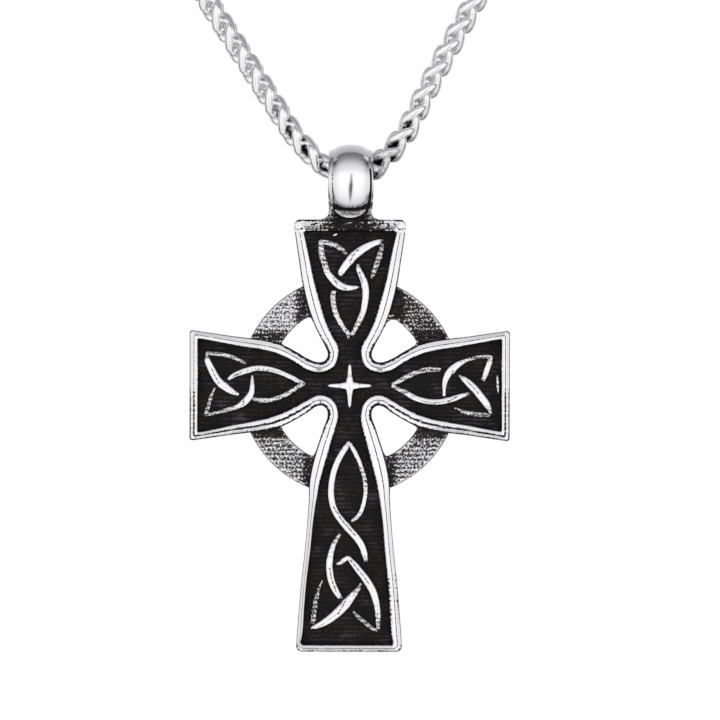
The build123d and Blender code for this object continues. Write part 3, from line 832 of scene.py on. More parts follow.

# The knots in the four fields.
# Raised interlace cast on the field: each strand is a low roof that swells and tapers, bright where
# the polishing wheel reached it, pitted and grey elsewhere, and where it crosses over, marked along
# its crest by a short painted dark line that stands for the tent's gap for the camera reflected there.
# A knot is its strands, then its painted crest reflections. A strand's rows are across, up, width and
# share of pits, and a reflection's are across and up, in tenths of a millimetre from the middle of the
# cross.
KNOTS = {
    "knot_top": (
        (((-30, 144, 4.5, 0.4), (-24, 143, 5.5, 0.4), (-17, 141, 6, 0.42), (-10, 137.5, 6, 0.45),
          (-6, 134, 5, 0.5), (-3, 131, 3, 0.55)),
         ((-29.5, 145, 5, 0.35), (-29, 138, 6.5, 0.3), (-28, 130, 7, 0.35), (-25.5, 122, 7, 0.45),
          (-23, 114, 7, 0.2), (-18, 107, 7.5, 0), (-12, 101.5, 8.5, 0), (-6, 98.5, 7.5, 0),
          (1, 97.8, 5.5, 0), (7, 98.5, 3.5, 0.1), (10, 98.5, 2, 0.4)),
         ((-10.5, 110.5, 5, 0.3), (-8, 115, 7.5, 0), (-3, 122, 8.5, 0), (3, 129, 9, 0),
          (9, 134, 9, 0), (16, 138.5, 8, 0), (23, 142, 6.5, 0), (29, 144, 5.5, 0),
          (33, 145, 4.5, 0.6)),
         ((33, 142, 3, 0.5), (31, 136, 5.5, 0.48), (29.5, 129, 7, 0.48), (26.5, 121, 6.5, 0.48),
          (24, 114, 6, 0.48), (21.5, 107, 3.5, 0.5)),
         ((8, 122, 3, 0.4), (8.5, 117, 5.5, 0.05), (11.5, 110, 6.5, 0), (15, 101, 7.5, 0),
          (15.8, 92, 7.5, 0), (15, 83, 7, 0), (13.2, 74, 6.5, 0.1), (9.5, 65, 6, 0.25),
          (5, 56, 5, 0.38), (1.5, 50, 4.5, 0.45)),
         ((-16, 95, 5.5, 0.35), (-17, 87, 6, 0.32), (-16, 79, 6, 0.35), (-14, 72, 6, 0.3),
          (-10.5, 64.5, 5.5, 0.2), (-6, 57.5, 5, 0.25), (-1.5, 51, 5, 0.35), (-1.5, 47, 3, 0.5))),
        (((-16.5, 108), (-14.5, 104), (-12.5, 100.5)),
         ((-0.5, 122.5), (3, 130), (8.5, 136.5)),
         ((9.5, 114), (12.5, 103)))),
    "knot_left": (
        (((-144, 32.5, 5, 0.5), (-139, 32, 4, 0.42), (-133, 31.5, 5, 0.36), (-126, 30.5, 4.5, 0.36),
          (-118, 28.5, 4.5, 0.36), (-112, 26, 4, 0.36), (-107, 23.5, 3.5, 0.4),
          (-103.5, 21.5, 2, 0.45)),
         ((-143.5, 30, 4, 0.45), (-142.5, 25, 6.5, 0.15), (-139.5, 18.5, 7.5, 0), (-136, 11.5, 8, 0),
          (-131, 4, 8.5, 0), (-124, -2, 8, 0), (-117, -6.5, 6, 0), (-111, -9, 3, 0.1)),
         ((-121.5, 6, 3.5, 0.3), (-117, 9.5, 5, 0.1), (-110, 12.5, 6, 0), (-103, 15, 6, 0),
          (-95, 17, 6, 0), (-86, 17, 6, 0), (-77, 15.5, 5.5, 0), (-68, 12.5, 5, 0),
          (-60, 9, 5, 0.05), (-53, 5.5, 5, 0.2), (-48, 3, 4.5, 0.3), (-44.5, 1.5, 3.5, 0.4)),
         ((-46, 1.5, 3.5, 0.35), (-51, -1, 4.5, 0.35), (-57, -5, 5, 0.32), (-64, -9, 5, 0.3),
          (-72, -12.5, 5, 0.32), (-80, -14.5, 5, 0.3), (-88, -15, 5.5, 0.3), (-94.5, -14, 5, 0.38),
          (-97, -13.5, 3.5, 0.5)),
         ((-97.5, 10, 2, 0.1), (-97.5, 5, 3.5, 0), (-97.5, 0, 5, 0), (-98, -6, 6, 0),
          (-101, -12, 7.5, 0), (-106, -17.5, 7, 0), (-113, -21.5, 5, 0.05), (-119, -23.5, 5, 0.36),
          (-126, -25.5, 4.5, 0.38), (-133, -27.5, 4, 0.4), (-140, -29, 3.5, 0.36),
          (-145, -29.5, 3, 0.4)),
         ((-134.5, -2, 1.5, 0.35), (-137.5, -8, 3.5, 0.4), (-139.5, -14, 4, 0.42),
          (-141, -20, 4.5, 0.45), (-143, -26, 5, 0.45), (-144.5, -29.5, 4, 0.4))),
        (((-138.5, 17.5), (-135, 9.5), (-130.5, 2)),
         ((-116.5, 9.3), (-108, 13.5)),
         ((-106, -13.5), (-106.3, -19.5)))),
    "knot_right": (
        (((42, 1, 3.5, 0.3), (48, 4, 5, 0.36), (55, 8, 5.5, 0.36), (62, 11.5, 5.5, 0.36),
          (70, 14.5, 5.5, 0.4), (79, 16.5, 6, 0.38), (86, 16.5, 5.5, 0.4), (91, 16, 4, 0.48)),
         ((42, 0, 3.5, 0.3), (48, -3, 4.5, 0.38), (55, -6.5, 6, 0.36), (63, -11, 6, 0.15),
          (71, -14, 6, 0), (80, -15.8, 6, 0), (89, -16, 6, 0), (98, -14.5, 6, 0), (106, -12, 6, 0),
          (113, -9.5, 5, 0.05), (118, -8, 3.5, 0.2), (120, -7.5, 2, 0.4)),
         ((94.5, -10, 3, 0.1), (94.5, -4, 3.5, 0.05), (95, 3, 5.5, 0), (97, 9, 7, 0),
          (101, 15, 8.5, 0), (107, 20.5, 7, 0), (113, 24, 5, 0.1), (119, 26.5, 4, 0.34),
          (127, 28.5, 4, 0.42), (135, 29.5, 4, 0.42), (141, 29, 4, 0.42)),
         ((142, 30, 4, 0.4), (140, 24, 6, 0.15), (137.5, 17, 6, 0.05), (135.5, 11, 5.5, 0.1),
          (133, 5.5, 5, 0.34)),
         ((109.5, 10.5, 2.5, 0.2), (114, 7, 6, 0.05), (119.5, 2.5, 7.5, 0), (125.5, -3.5, 8, 0),
          (131.5, -11, 8, 0), (137, -18, 7.5, 0), (140, -23, 5.5, 0.3), (141, -28, 4, 0.5)),
         ((105, -22, 2, 0.5), (112, -25, 4, 0.45), (119, -27, 5, 0.42), (127, -28.5, 5, 0.42),
          (135, -29, 5, 0.42), (141, -29.5, 4, 0.45))),
        (((98, -15.8), (107.5, -10.8)),
         ((103.5, 15.5), (99.5, 5)),
         ((117, 5), (122, 0.5), (128.5, -7.5)))),
    "knot_foot": (
        (((-0.5, -56, 4, 0.25), (-4, -62, 6, 0.12), (-9.5, -71, 6.5, 0.05), (-14, -81, 6.5, 0),
          (-17, -92, 6.5, 0), (-18.3, -103, 6.5, 0), (-17.8, -114, 6.8, 0), (-14, -126, 7, 0),
          (-7, -136, 7.5, 0), (0.5, -144.5, 7.5, 0), (8, -153, 7.5, 0), (13, -161, 7, 0),
          (15.5, -169, 6.5, 0.1), (17, -176, 4.5, 0.4)),
         ((0.5, -58, 4, 0.2), (5, -66, 5, 0.05), (9.5, -76, 5, 0.1), (13.5, -87, 4.5, 0.3),
          (15.8, -97, 5, 0.3), (16, -107, 4.5, 0.25), (14.5, -117, 4.5, 0.1), (11, -127, 4.5, 0.1),
          (6, -133, 4.5, 0.35), (2, -135.5, 3, 0.2)),
         ((-9, -148, 3, 0.5), (-12, -152.5, 4.5, 0.34), (-15.5, -159, 5.5, 0.3),
          (-18, -167, 6, 0.15), (-19.8, -176, 7, 0), (-19.5, -186, 7.5, 0), (-17.5, -196, 7.5, 0),
          (-13.5, -205, 7, 0), (-9.5, -211, 5.5, 0.1), (-7, -213, 3, 0.3)),
         ((-1, -171.5, 4, 0), (-5.5, -174.5, 5, 0), (-9.5, -177.5, 4, 0.15),
          (-13, -178.5, 3.5, 0.5)),
         ((-1, -171.5, 4, 0), (3, -176.5, 6, 0), (10, -185, 7.5, 0), (17, -194, 8, 0),
          (22.5, -203, 8, 0), (26, -212, 7.5, 0), (28, -221, 6.5, 0.15), (29, -230, 6, 0.3),
          (29, -238, 5, 0.36), (29, -243, 4.5, 0.45)),
         ((-26.5, -194.5, 1.5, 0.35), (-29.5, -201, 3, 0.42), (-31.5, -208, 4.5, 0.49),
          (-33.5, -216, 5.5, 0.53), (-34.5, -224, 6, 0.55), (-35.5, -232, 6, 0.53),
          (-37, -238, 5.5, 0.5)),
         ((-38, -242.5, 3.5, 0.2), (-32, -240.5, 5.5, 0.1), (-25, -237, 7.5, 0), (-17, -231.5, 9, 0),
          (-9, -224.5, 10, 0), (-2, -217, 9.5, 0), (4, -209.5, 7.5, 0.15), (9, -203, 5, 0.4),
          (12, -198, 3, 0.55)),
         ((4, -226, 3, 0.5), (9, -231, 4.5, 0.44), (15, -236, 5, 0.44), (21, -241, 4.5, 0.4),
          (27, -245, 4, 0.44), (29, -245, 3, 0.5))),
        (((-16, -121), (-7, -135), (6, -150)),
         ((2.5, -66), (11, -83)),
         ((-19.6, -182), (-18, -193), (-13, -206)),
         ((1, -174.5), (12, -187), (19.5, -198)),
         ((-3.5, -215), (-11, -228)))),
}
TENTH = 0.1
# The height of a strand's edges, where it is thin and where it is wide, and those two widths
THIN_EDGE = 0.53
WIDE_EDGE = 0.88
THIN_WIDTH = 1.5
WIDE_WIDTH = 6.0
# Half of a strand's section, for a strand one wide: across, then up from its edge
STRAND_SECTION = ((0.5, -1.1), (0.5, -0.12), (0.47, -0.02), (0.41, 0.05), (0.32, 0.10), (0.21, 0.142),
                  (0.10, 0.168))
STRAND_CREST = 0.18
# A strand's line is drawn in this many steps from row to row, and then cut into even ones
BETWEEN = 16
STRAND_STEP = 0.05
# How far from its line a painted crest reflection is black, and how far it fades
CREST_REFLECTION_CORE = 0.02
CREST_REFLECTION_FADE = 0.06
# How a strand's share of pits counts: in how far its skin is pushed in, and in its oxide
PITS_DEEP = 2.2
PITS_OXIDE = 1.06
# A strand's sides are black from this far under its edge, and bare from the second
SIDE_BLACK = 0.16
SIDE_BARE = 0.04


def strand_profile():
    """The section of a strand a millimetre wide: upright sides under a low roof."""
    outline = [(-x, y) for x, y in STRAND_SECTION] + [(0, STRAND_CREST)] + list(reversed(STRAND_SECTION))
    line = new_line("strand_section", dimensions="2D")
    spline = line.splines.new("POLY")
    spline.points.add(len(outline) - 1)
    spline.use_cyclic_u = True
    for point, (x, y) in zip(spline.points, outline):
        point.co = (x, y, 0, 1)
    section = bpy.data.objects.new("strand_section", line)
    bpy.context.scene.collection.objects.link(section)
    return section, len(outline)


def draw_smooth(line, knots, closed=False):
    """Add a smooth line to a curve's data, given as each knot's place and the line's radius there."""
    spline = line.splines.new("BEZIER")
    spline.bezier_points.add(len(knots) - 1)
    spline.use_cyclic_u = closed
    for knot, (*place, radius) in zip(spline.bezier_points, knots):
        knot.co = place
        knot.radius = radius
        knot.handle_left_type = "AUTO"
        knot.handle_right_type = "AUTO"


def running_length(points):
    """How far along a line each of its points is."""
    reach = [0.0]
    for a, b in zip(points, points[1:]):
        reach.append(reach[-1] + (b - a).length)
    return reach


def even_rows(rows, step):
    """Rows of place, width and pits at an even step along a smooth line through the given ones."""
    line = new_line("strand_line", BETWEEN)
    draw_smooth(line, [(across * TENTH, up * TENTH, 0, 1) for across, up, _, _ in rows])
    drawn = curve_to_mesh(line, "strand_line")
    dense = []
    for i, corner in enumerate(drawn.data.vertices):
        before = min(i // BETWEEN, len(rows) - 2)
        on = i / BETWEEN - before
        width, pitted = [rows[before][n] * (1 - on) + rows[before + 1][n] * on for n in (2, 3)]
        dense.append(Vector((corner.co.x, corner.co.y, width, pitted)))
    bpy.data.objects.remove(drawn)
    reach = running_length([spot.to_2d() for spot in dense])
    count = max(3, round(reach[-1] / step))
    spread = []
    at = 0
    for k in range(count + 1):
        want = reach[-1] * k / count
        while at < len(reach) - 2 and reach[at + 1] < want:
            at += 1
        gap = reach[at + 1] - reach[at]
        spread.append(dense[at].lerp(dense[at + 1], (want - reach[at]) / gap if gap else 0))
    return spread


def off_crest_reflections(spot, crest_reflections):
    """How far a point is from the nearest painted crest reflection."""
    nearest = math.inf
    for reflection in crest_reflections:
        for a, b in zip(reflection, reflection[1:]):
            start = Vector(a) * TENTH
            run = Vector(b) * TENTH - start
            share = ramp((spot - start).dot(run), 0, run.length_squared)
            nearest = min(nearest, (spot - start - run * share).length)
    return nearest


strand_section, section_corners = strand_profile()


def strand(rows, crest_reflections=()):
    """One strand of a knot, with the oxide that it keeps, its painted crest reflections, and a vertex
    group of its pits.
    """
    spots = even_rows(rows, STRAND_STEP)
    edges = [THIN_EDGE + (WIDE_EDGE - THIN_EDGE) * ramp(spot[2], THIN_WIDTH, WIDE_WIDTH) for spot in spots]
    line = new_line("strand")
    line.twist_mode = "Z_UP"
    line.bevel_mode = "OBJECT"
    line.bevel_object = strand_section
    line.use_fill_caps = True
    spline = line.splines.new("POLY")
    spline.points.add(len(spots) - 1)
    for point, spot, edge in zip(spline.points, spots, edges):
        point.co = (spot[0], spot[1], edge, 1)
        point.radius = spot[2] * TENTH
    drawn = curve_to_mesh(line, "strand")
    rows_at = [min(i // section_corners, len(spots) - 1) for i in range(len(drawn.data.vertices))]
    pits_group = drawn.vertex_groups.new(name="pitted")
    for i, row in enumerate(rows_at):
        pits_group.add([i], min(1.0, PITS_DEEP * spots[row][3]), "REPLACE")
    amounts = []
    for row, corner in zip(rows_at, drawn.data.vertices):
        edge = edges[row]
        kept = PITS_OXIDE * spots[row][3]
        # Painted dark reflection along the crest
        if corner.co.z > edge:
            kept = max(kept, 1 - ramp(off_crest_reflections(corner.co.to_2d(), crest_reflections), CREST_REFLECTION_CORE, CREST_REFLECTION_FADE))
        side = 1 - ramp(corner.co.z, edge - SIDE_BLACK, edge - SIDE_BARE)
        amounts.append(kept + (1 - kept) * side)
    layer = drawn.data.attributes.new("oxide_and_painted_shade", "FLOAT", "POINT")
    layer.data.foreach_set("value", amounts)
    return drawn


# The soft unevenness of the cast skin, and the hard-edged pits in it
skin = bpy.data.textures.new("cast_skin", "CLOUDS")
skin.noise_scale = 0.45
skin.noise_depth = 2
pits = bpy.data.textures.new("cast_pits", "CLOUDS")
pits.noise_scale = 0.16
pits.noise_depth = 3
pits.noise_type = "HARD_NOISE"
# How strongly the strands' skin and their pits are pushed in and out, and the pits' middle level
SKIN_PUSH = 0.03
PITS_PUSH = 0.14
PITS_MIDDLE = 0.6


def roughen(piece, texture, strength, group="", middle=0.5):
    """Push a piece's skin in and out by a texture, once and for good."""
    bpy.context.view_layer.objects.active = piece
    push = piece.modifiers.new("roughen", "DISPLACE")
    push.texture = texture
    push.strength = strength
    push.mid_level = middle
    push.vertex_group = group
    bpy.ops.object.modifier_apply(modifier=push.name)


strand_finish = casting_finish("strand_finish", fine=9.0, ragged=3.1, edge=0.12)
for knot_name, (strands, crest_reflections) in KNOTS.items():
    knot = join([strand(rows, crest_reflections) for rows in strands], knot_name)
    roughen(knot, skin, SKIN_PUSH)
    roughen(knot, pits, PITS_PUSH, "pitted", PITS_MIDDLE)
    stand_up(knot, 16, strand_finish)

# The star at the crossing.
# A small four-pointed star cast on the field and polished bright, made as two strands laid across
# each other. Their rows are how far out, as a share of the tip's distance, and width.
STAR_TIP = 21.5
STAR_WIDTHS = ((1.0, 2.0), (0.93, 3.0), (0.5, 4.8), (0.25, 7.2), (0.1, 10.0), (0.0, 11.0))
star_row = [(-STAR_TIP * share, width) for share, width in STAR_WIDTHS]
star_row += [(-x, width) for x, width in reversed(star_row[:-1])]
star = join([strand([(x, 0, width, 0) for x, width in star_row]),
             strand([(0, x, width, 0) for x, width in star_row])], "star")
stand_up(star, 16, casting_finish("star_finish", ragged=0.8))
bpy.data.objects.remove(strand_section)

# The two beads of metal.
# Drops that the casting left, one under the top of the rim and one along its wall at the right,
# each a squashed sphere: its place, half sizes, turn in degrees, and how much oxide it keeps.
BEADS = {"casting_bead": ((-1.48, 15.12, 0.48), (0.28, 0.15, 0.13), 30, 0.0),
         "wall_bead": ((14.82, 0.2, 0.72), (0.22, 0.95, 0.30), 3, 0.4)}
bead_finish = casting_finish("bead_finish", ragged=2.0)
for bead_name, (place, half, turned, kept) in BEADS.items():
    bpy.ops.mesh.primitive_uv_sphere_add(segments=24, ring_count=12, radius=1, location=place, scale=half,
                                         rotation=(0, 0, math.radians(turned)))
    bead = settle(bead_name)
    keep_oxide_and_shade(bead, lambda corner: kept)
    stand_up(bead, 60, bead_finish)

# The bail.
# A broad ring that the chain runs through, cast in one with the cross and polished. Half of its
# section is given as across and out from its middle, from its bore round to its face.
BAIL_UP = 20.56
BAIL_BORE = 2.37
BAIL_OUT = 3.6
BAIL_SIDE = ((1.2, 2.39), (1.92, 2.46), (2.12, 2.52), (2.2, 2.62), (2.2, 2.95), (2.13, 3.015),
             (2.0, 3.085), (1.9, 3.13), (1.84, 3.16), (1.76, 3.20), (1.6, 3.30), (1.35, 3.41),
             (1.0, 3.505), (0.6, 3.572))
BAIL_SECTION = [(0.0, BAIL_BORE), *BAIL_SIDE, (0.0, BAIL_OUT), *[(-x, r) for x, r in reversed(BAIL_SIDE)]]
BAIL_STEPS = 128
# A painted dark reflection runs near each edge of its face. Each side's line: how far across it
# is, half of its width, how much wider it is low down, and how black. Both lie further in low down.
BORE_REACH = 2.9
BORE_OXIDE = 0.1
LEFT_REFLECTION = (1.80, 0.08, 0.07, 0.8)
RIGHT_REFLECTION = (1.97, 0.13, 0.05, 1.0)
LINE_SOFT = 0.06
LINE_INWARD = 0.10
LOW_FROM = 0.9
LOW_TO = 2.7
LINES_FADE_FROM = 0.8
LINES_FADE_TO = 1.5
# The ring is widest a little below its middle and narrows up and down from there, its sides less
# than its face, and it sits a little to the right
BAIL_WIDEST = 1.02
BAIL_WIDEST_DOWN = 0.4
BAIL_BOW = 0.09
BAIL_BOW_REACH = 2.2
BAIL_BOW_MOST = 1.2
BAIL_EDGE_FROM = 1.95
BAIL_EDGE_TO = 2.2
BAIL_EDGE_HELD = 0.8
BAIL_SHIFT = 0.06


def bail_oxide_and_reflections(corner):
    """Oxide in the bore, and painted dark reflections along the face's edges: a thin line at its left and
    a broad one at its right.
    """
    up = corner.y - BAIL_UP
    if math.hypot(up, corner.z) < BORE_REACH:
        return BORE_OXIDE
    # The painted dark reflection near this edge of the face
    line_at, half, wider, black = RIGHT_REFLECTION if corner.x > 0 else LEFT_REFLECTION
    low = ramp(-up, LOW_FROM, LOW_TO)
    half += wider * low
    off_line = abs(abs(corner.x) - line_at + LINE_INWARD * low)
    line = 1 - ramp(off_line, half - LINE_SOFT, half)
    return black * line * (1 - ramp(up, LINES_FADE_FROM, LINES_FADE_TO))


bail = spin_section([(x, r, 0) for x, r in BAIL_SECTION], "bail", (1, 0, 0), BAIL_STEPS)
bail.data.transform(Matrix.Translation((0, BAIL_UP, 0)))
keep_oxide_and_shade(bail, bail_oxide_and_reflections)
for corner in bail.data.vertices:
    from_widest = (corner.co.y - BAIL_UP + BAIL_WIDEST_DOWN) / BAIL_BOW_REACH
    held = BAIL_EDGE_HELD * ramp(abs(corner.co.x), BAIL_EDGE_FROM, BAIL_EDGE_TO)
    bow = BAIL_BOW * (1 - held) * min(BAIL_BOW_MOST, from_widest ** 2)
    corner.co.x = corner.co.x * (BAIL_WIDEST - bow) + BAIL_SHIFT
stand_up(bail, 30, casting_finish("bail_polish", ragged=0.6, polish=0.12, depth=0.002))

# The saddle.
# The short block between the bail and the top of the cross: a box whose upper face is drawn up in
# steps that narrow, pitted all over, and black but for its rubbed flanks.
SADDLE_UP = 16.2
SADDLE_SIZE = (6.5, 0.6, 2.6)
# Each step's rise, and what is left of its width and of its depth
SADDLE_STEPS = ((0.12, 0.905, 0.97), (0.08, 0.905, 0.97), (0.12, 0.915, 0.96), (0.18, 0.93, 0.96),
                (0.3, 0.95, 0.97), (0.5, 0.995, 0.98), (0.6, 1.0, 0.94))
SADDLE_BEVEL = 0.05
SADDLE_PITS = 0.12
SADDLE_STEEL = (0.5, 0.5, 0.5, 1)
# Its flanks are barer than its middle, and barer still above its crease with the arm
FLANK_FROM = 1.5
FLANK_TO = 1.8
FLANK_BARER = 0.45
HIGH_FLANK_TO = 1.95
HIGH_FLANK_BARER = 0.3
CREASE_FROM = 16.8
CREASE_TO = 17.1


def saddle_oxide(corner):
    """Oxide in the saddle's crease with the arm and with the bail, thin on its flanks."""
    out = abs(corner.x)
    high_flank = ramp(out, FLANK_TO, HIGH_FLANK_TO) * ramp(corner.y, CREASE_FROM, CREASE_TO)
    return 1.0 - FLANK_BARER * ramp(out, FLANK_FROM, FLANK_TO) - HIGH_FLANK_BARER * high_flank


bpy.ops.mesh.primitive_cube_add(size=1, location=(0, SADDLE_UP, 0), scale=SADDLE_SIZE)
saddle = settle("saddle")
bpy.ops.object.mode_set(mode="EDIT")
bpy.ops.mesh.select_all(action="DESELECT")
bpy.ops.mesh.select_mode(type="FACE")
bpy.ops.object.mode_set(mode="OBJECT")
for face in saddle.data.polygons:
    face.select = face.normal.y > 0.5
bpy.ops.object.mode_set(mode="EDIT")
for rise, width_left, depth_left in SADDLE_STEPS:
    bpy.ops.mesh.extrude_region_move(TRANSFORM_OT_translate={"value": (0, rise, 0)})
    bpy.ops.transform.resize(value=(width_left, 1, depth_left))
bpy.ops.mesh.select_all(action="SELECT")
bpy.ops.mesh.bevel(offset=SADDLE_BEVEL, segments=2, affect="EDGES")
bpy.ops.object.mode_set(mode="OBJECT")
finer = saddle.modifiers.new("finer", "SUBSURF")
finer.subdivision_type = "SIMPLE"
finer.levels = 3
finer.render_levels = 3
bpy.ops.object.modifier_apply(modifier=finer.name)
roughen(saddle, pits, SADDLE_PITS)
keep_oxide_and_shade(saddle, saddle_oxide)
stand_up(saddle, 40, casting_finish("saddle_black", ragged=2.5, steel=SADDLE_STEEL))

# The fillet under the bail.
# The hollow in front where the bail runs into the saddle: a thin skin, bent in one curve from the
# bail's face down to the block, over the corner that the two would make.
FILLET_HALF = 1.84
FILLET_TOP = 17.74
FILLET_FOOT = 16.78
FILLET_FOOT_DEPTH = 1.36
FILLET_THICK = 0.12
# Towards both sides its top rises, its foot lifts to meet the top, and the bail's face falls back
FILLET_TOP_RISE = 0.3
FILLET_FOOT_LIFT = 2.2
FACE_FALL = 0.16
ABOVE_FACE = 0.02
# Where the skin bends: as a share of its height down, and of its depth out
BEND_DOWN = 0.55
BEND_OUT = 0.35
# Its oxide: a line along the bail (how far down), the middle of the hollow (how far down and
# across), and both ends (how far across)
BAIL_LINE = (0.10, 0.30)
BAIL_LINE_OXIDE = 0.9
HOLLOW_DOWN = (0.60, 0.90)
HOLLOW_ACROSS = (0.8, 1.5)
HOLLOW_OXIDE = 0.56
ENDS_ACROSS = (1.5, 1.8)
ENDS_OXIDE = 0.5


def fillet_oxide(corner):
    """Oxide in the fillet: a blotched black line where it leaves the bail, and at its ends."""
    from_top = FILLET_TOP - corner.y
    out = abs(corner.x)
    hollow = (1 - ramp(from_top, *HOLLOW_DOWN)) * (1 - ramp(out, *HOLLOW_ACROSS))
    return (BAIL_LINE_OXIDE * (1 - ramp(from_top, *BAIL_LINE)) + ENDS_OXIDE * ramp(out, *ENDS_ACROSS)
            + HOLLOW_OXIDE * hollow)


bpy.ops.mesh.primitive_grid_add(x_subdivisions=48, y_subdivisions=12, size=2, location=(0, 0, 0))
fillet = bpy.context.object
fillet.name = "bail_fillet"
for corner in fillet.data.vertices:
    out = abs(corner.co.x)
    down = (1 - corner.co.y) / 2
    top = FILLET_TOP + FILLET_TOP_RISE * out ** 6
    foot = FILLET_FOOT + (top - FILLET_FOOT) * out ** FILLET_FOOT_LIFT
    face = BAIL_OUT - FACE_FALL * (out ** 2 + out ** 6)
    top_depth = math.sqrt(face ** 2 - (BAIL_UP - top) ** 2) + ABOVE_FACE
    foot_depth = FILLET_FOOT_DEPTH + (top_depth - FILLET_FOOT_DEPTH) * out ** 4
    bend = Vector((top - BEND_DOWN * (top - foot), foot_depth + BEND_OUT * (top_depth - foot_depth)))
    upper = Vector((top, top_depth)).lerp(bend, down)
    lower = bend.lerp(Vector((foot, foot_depth)), down)
    corner.co = (FILLET_HALF * corner.co.x, *upper.lerp(lower, down))
thick = fillet.modifiers.new("thick", "SOLIDIFY")
thick.thickness = FILLET_THICK
thick.offset = -1
bpy.ops.object.modifier_apply(modifier=thick.name)
edit_all()
turn_outward()
keep_oxide_and_shade(fillet, fillet_oxide)
stand_up(fillet, 40, casting_finish("fillet_polish", ragged=1.2, edge=0.34, polish=0.30, depth=0.004))

# The wheat chain.
# Polished steel wire links, each a long loop folded in half and threaded through the ends of
# the one before, turned a quarter round from it. Route points are across and up, in millimetres.
ROUTE = ((-10.9, 0), (-22, 0), (-46, -9.5), (-65.5, -33), (-72, -62.5), (-69.5, -91.5), (-57, -123.5),
         (-37.1, -158.5), (-17.8, -188.8), (-8.65, -203), (-5.3, -208.2), (-2.35, -211), (2.475, -211),
         (5.45, -207.7), (8.6, -201.2), (16.9, -186), (34, -156), (54.8, -121), (69, -90), (72.5, -62),
         (66, -33), (46.5, -9.5), (22, 0), (10.25, 0))
# How much of the shorter run beside a corner its arc takes, but for the two corners at the bail,
# whose arcs have a radius of their own
ARC_SHARE = 0.45
BAIL_CORNERS = (11, 12)
BAIL_BEND = 2.5
LINK_STEP = 1.23
# How far along the chain from the bail the first link of each side lies, and how it is rolled there
LEFT_START = -1.37
RIGHT_START = 1.67
LEFT_ROLL = 20
RIGHT_ROLL = -22
# A link is laid along the line to the point this far on from its middle
LOOK_AHEAD = 1.0
# Half of a link, from the middle of its rear bend to the middle of its front one: forward, to the
# right, outward, and the radius of its wire there. The other half is the same, behind the chain.
LINK_BENDS = ((-1.40, -0.18, 0.0, 0.29), (-1.22, -0.50, 0.28, 0.32), (-0.94, -0.60, 0.52, 0.41),
              (-0.42, -0.29, 0.66, 0.46), (0.0, 0.0, 0.69, 0.46), (0.42, 0.29, 0.66, 0.46),
              (0.94, 0.60, 0.52, 0.41), (1.22, 0.50, 0.28, 0.32), (1.40, 0.18, 0.0, 0.29))
# A thinner loop of wire inside the link, which fills the core of the chain
LINK_INNER = ((-0.62, 0.42, 0.46, 0.20), (0.62, -0.42, 0.46, 0.20), (0.62, -0.42, -0.46, 0.20),
              (-0.62, 0.42, -0.46, 0.20))
# Links below this height are near the bail and finely made
NEAR_BAIL_UP = -190
# Painted shade between the links: how far out from a link's middle it fades, what is added beside
# the bail at its right and at its left, and the heights over which each fades upward
LINK_SHADE = (0.40, 0.80)
BESIDE_RIGHT = 0.35
BESIDE_LEFT = 0.05
BESIDE_BAIL = (-209.0, -205.0)
CHAIN_FADE = (-209.0, -202.0)
CHAIN_STEEL = (0.98, 0.98, 0.985, 1)


def chain_line():
    """The line that the chain hangs in: straight runs joined by arcs."""
    corners = [Vector((x, 0, z)) for x, z in ROUTE]
    knots = [(corners[0], corners[0], corners[0])]
    for i in range(1, len(corners) - 1):
        back = corners[i - 1] - corners[i]
        on = corners[i + 1] - corners[i]
        half_turn = (math.pi - back.angle(on)) / 2
        radius = ARC_SHARE * min(back.length, on.length) / math.tan(half_turn)
        if i in BAIL_CORNERS:
            radius = BAIL_BEND
        run = radius * math.tan(half_turn)
        pull = 4 / 3 * math.tan(half_turn / 2) * radius
        start = corners[i] + back.normalized() * run
        end = corners[i] + on.normalized() * run
        knots.append((start, start, start - back.normalized() * pull))
        knots.append((end, end - on.normalized() * pull, end))
    knots.append((corners[-1], corners[-1], corners[-1]))
    line = new_line("chain_line", 24)
    draw_knots(line, knots)
    drawn = curve_to_mesh(line, "chain_line")
    dense = [v.co.copy() for v in drawn.data.vertices]
    bpy.data.objects.remove(drawn)
    return dense


def link_shape(name, bends, lean, steps, sides):
    """One link: two thick wires that cross the chain at a slant, in front of it and behind it."""
    line = new_line(name, steps)
    line.bevel_depth = 1.0
    line.bevel_resolution = sides
    outer = list(bends) + [(s, w, -u, r) for s, w, u, r in bends[-2:0:-1]]
    for loop in (outer, LINK_INNER):
        draw_smooth(line, [(lean * w, u, s, r) for s, w, u, r in loop], closed=True)
    link = curve_to_mesh(line, name)
    # Painted shade: the wire darkens towards the chain's core, where the links shade each other
    keep_oxide_and_shade(link, lambda corner: 1 - ramp(corner.to_2d().length, *LINK_SHADE))
    return link


def chain_shade(corner, kept):
    """Painted shade on the chain: what a link keeps, more beside the bail, and none higher up."""
    beside = BESIDE_RIGHT if corner.x > 0 else BESIDE_LEFT
    beside *= 1 - ramp(corner.z, *BESIDE_BAIL)
    return (kept + beside) * (1 - ramp(corner.z, *CHAIN_FADE))


route_points = chain_line()
route_reach = running_length(route_points)
# Every other link leans the other way, and those far from the bail have fewer bends and sides
FEWER_BENDS = LINK_BENDS[:3] + LINK_BENDS[4:5] + LINK_BENDS[6:]
fine_links = [link_shape("fine_link", LINK_BENDS, lean, 4, 2) for lean in (1, -1)]
plain_links = [link_shape("plain_link", FEWER_BENDS, lean, 1, 0) for lean in (1, -1)]
at_bail = min(range(len(route_points)), key=lambda i: route_points[i].z + abs(route_points[i].x))
middle_reach = route_reach[at_bail]
link_end = LINK_BENDS[-1][0]
left_at = middle_reach + LEFT_START
right_at = middle_reach + RIGHT_START
left_count = int((left_at - link_end) / LINK_STEP)
right_count = int((route_reach[-1] - link_end - right_at) / LINK_STEP)
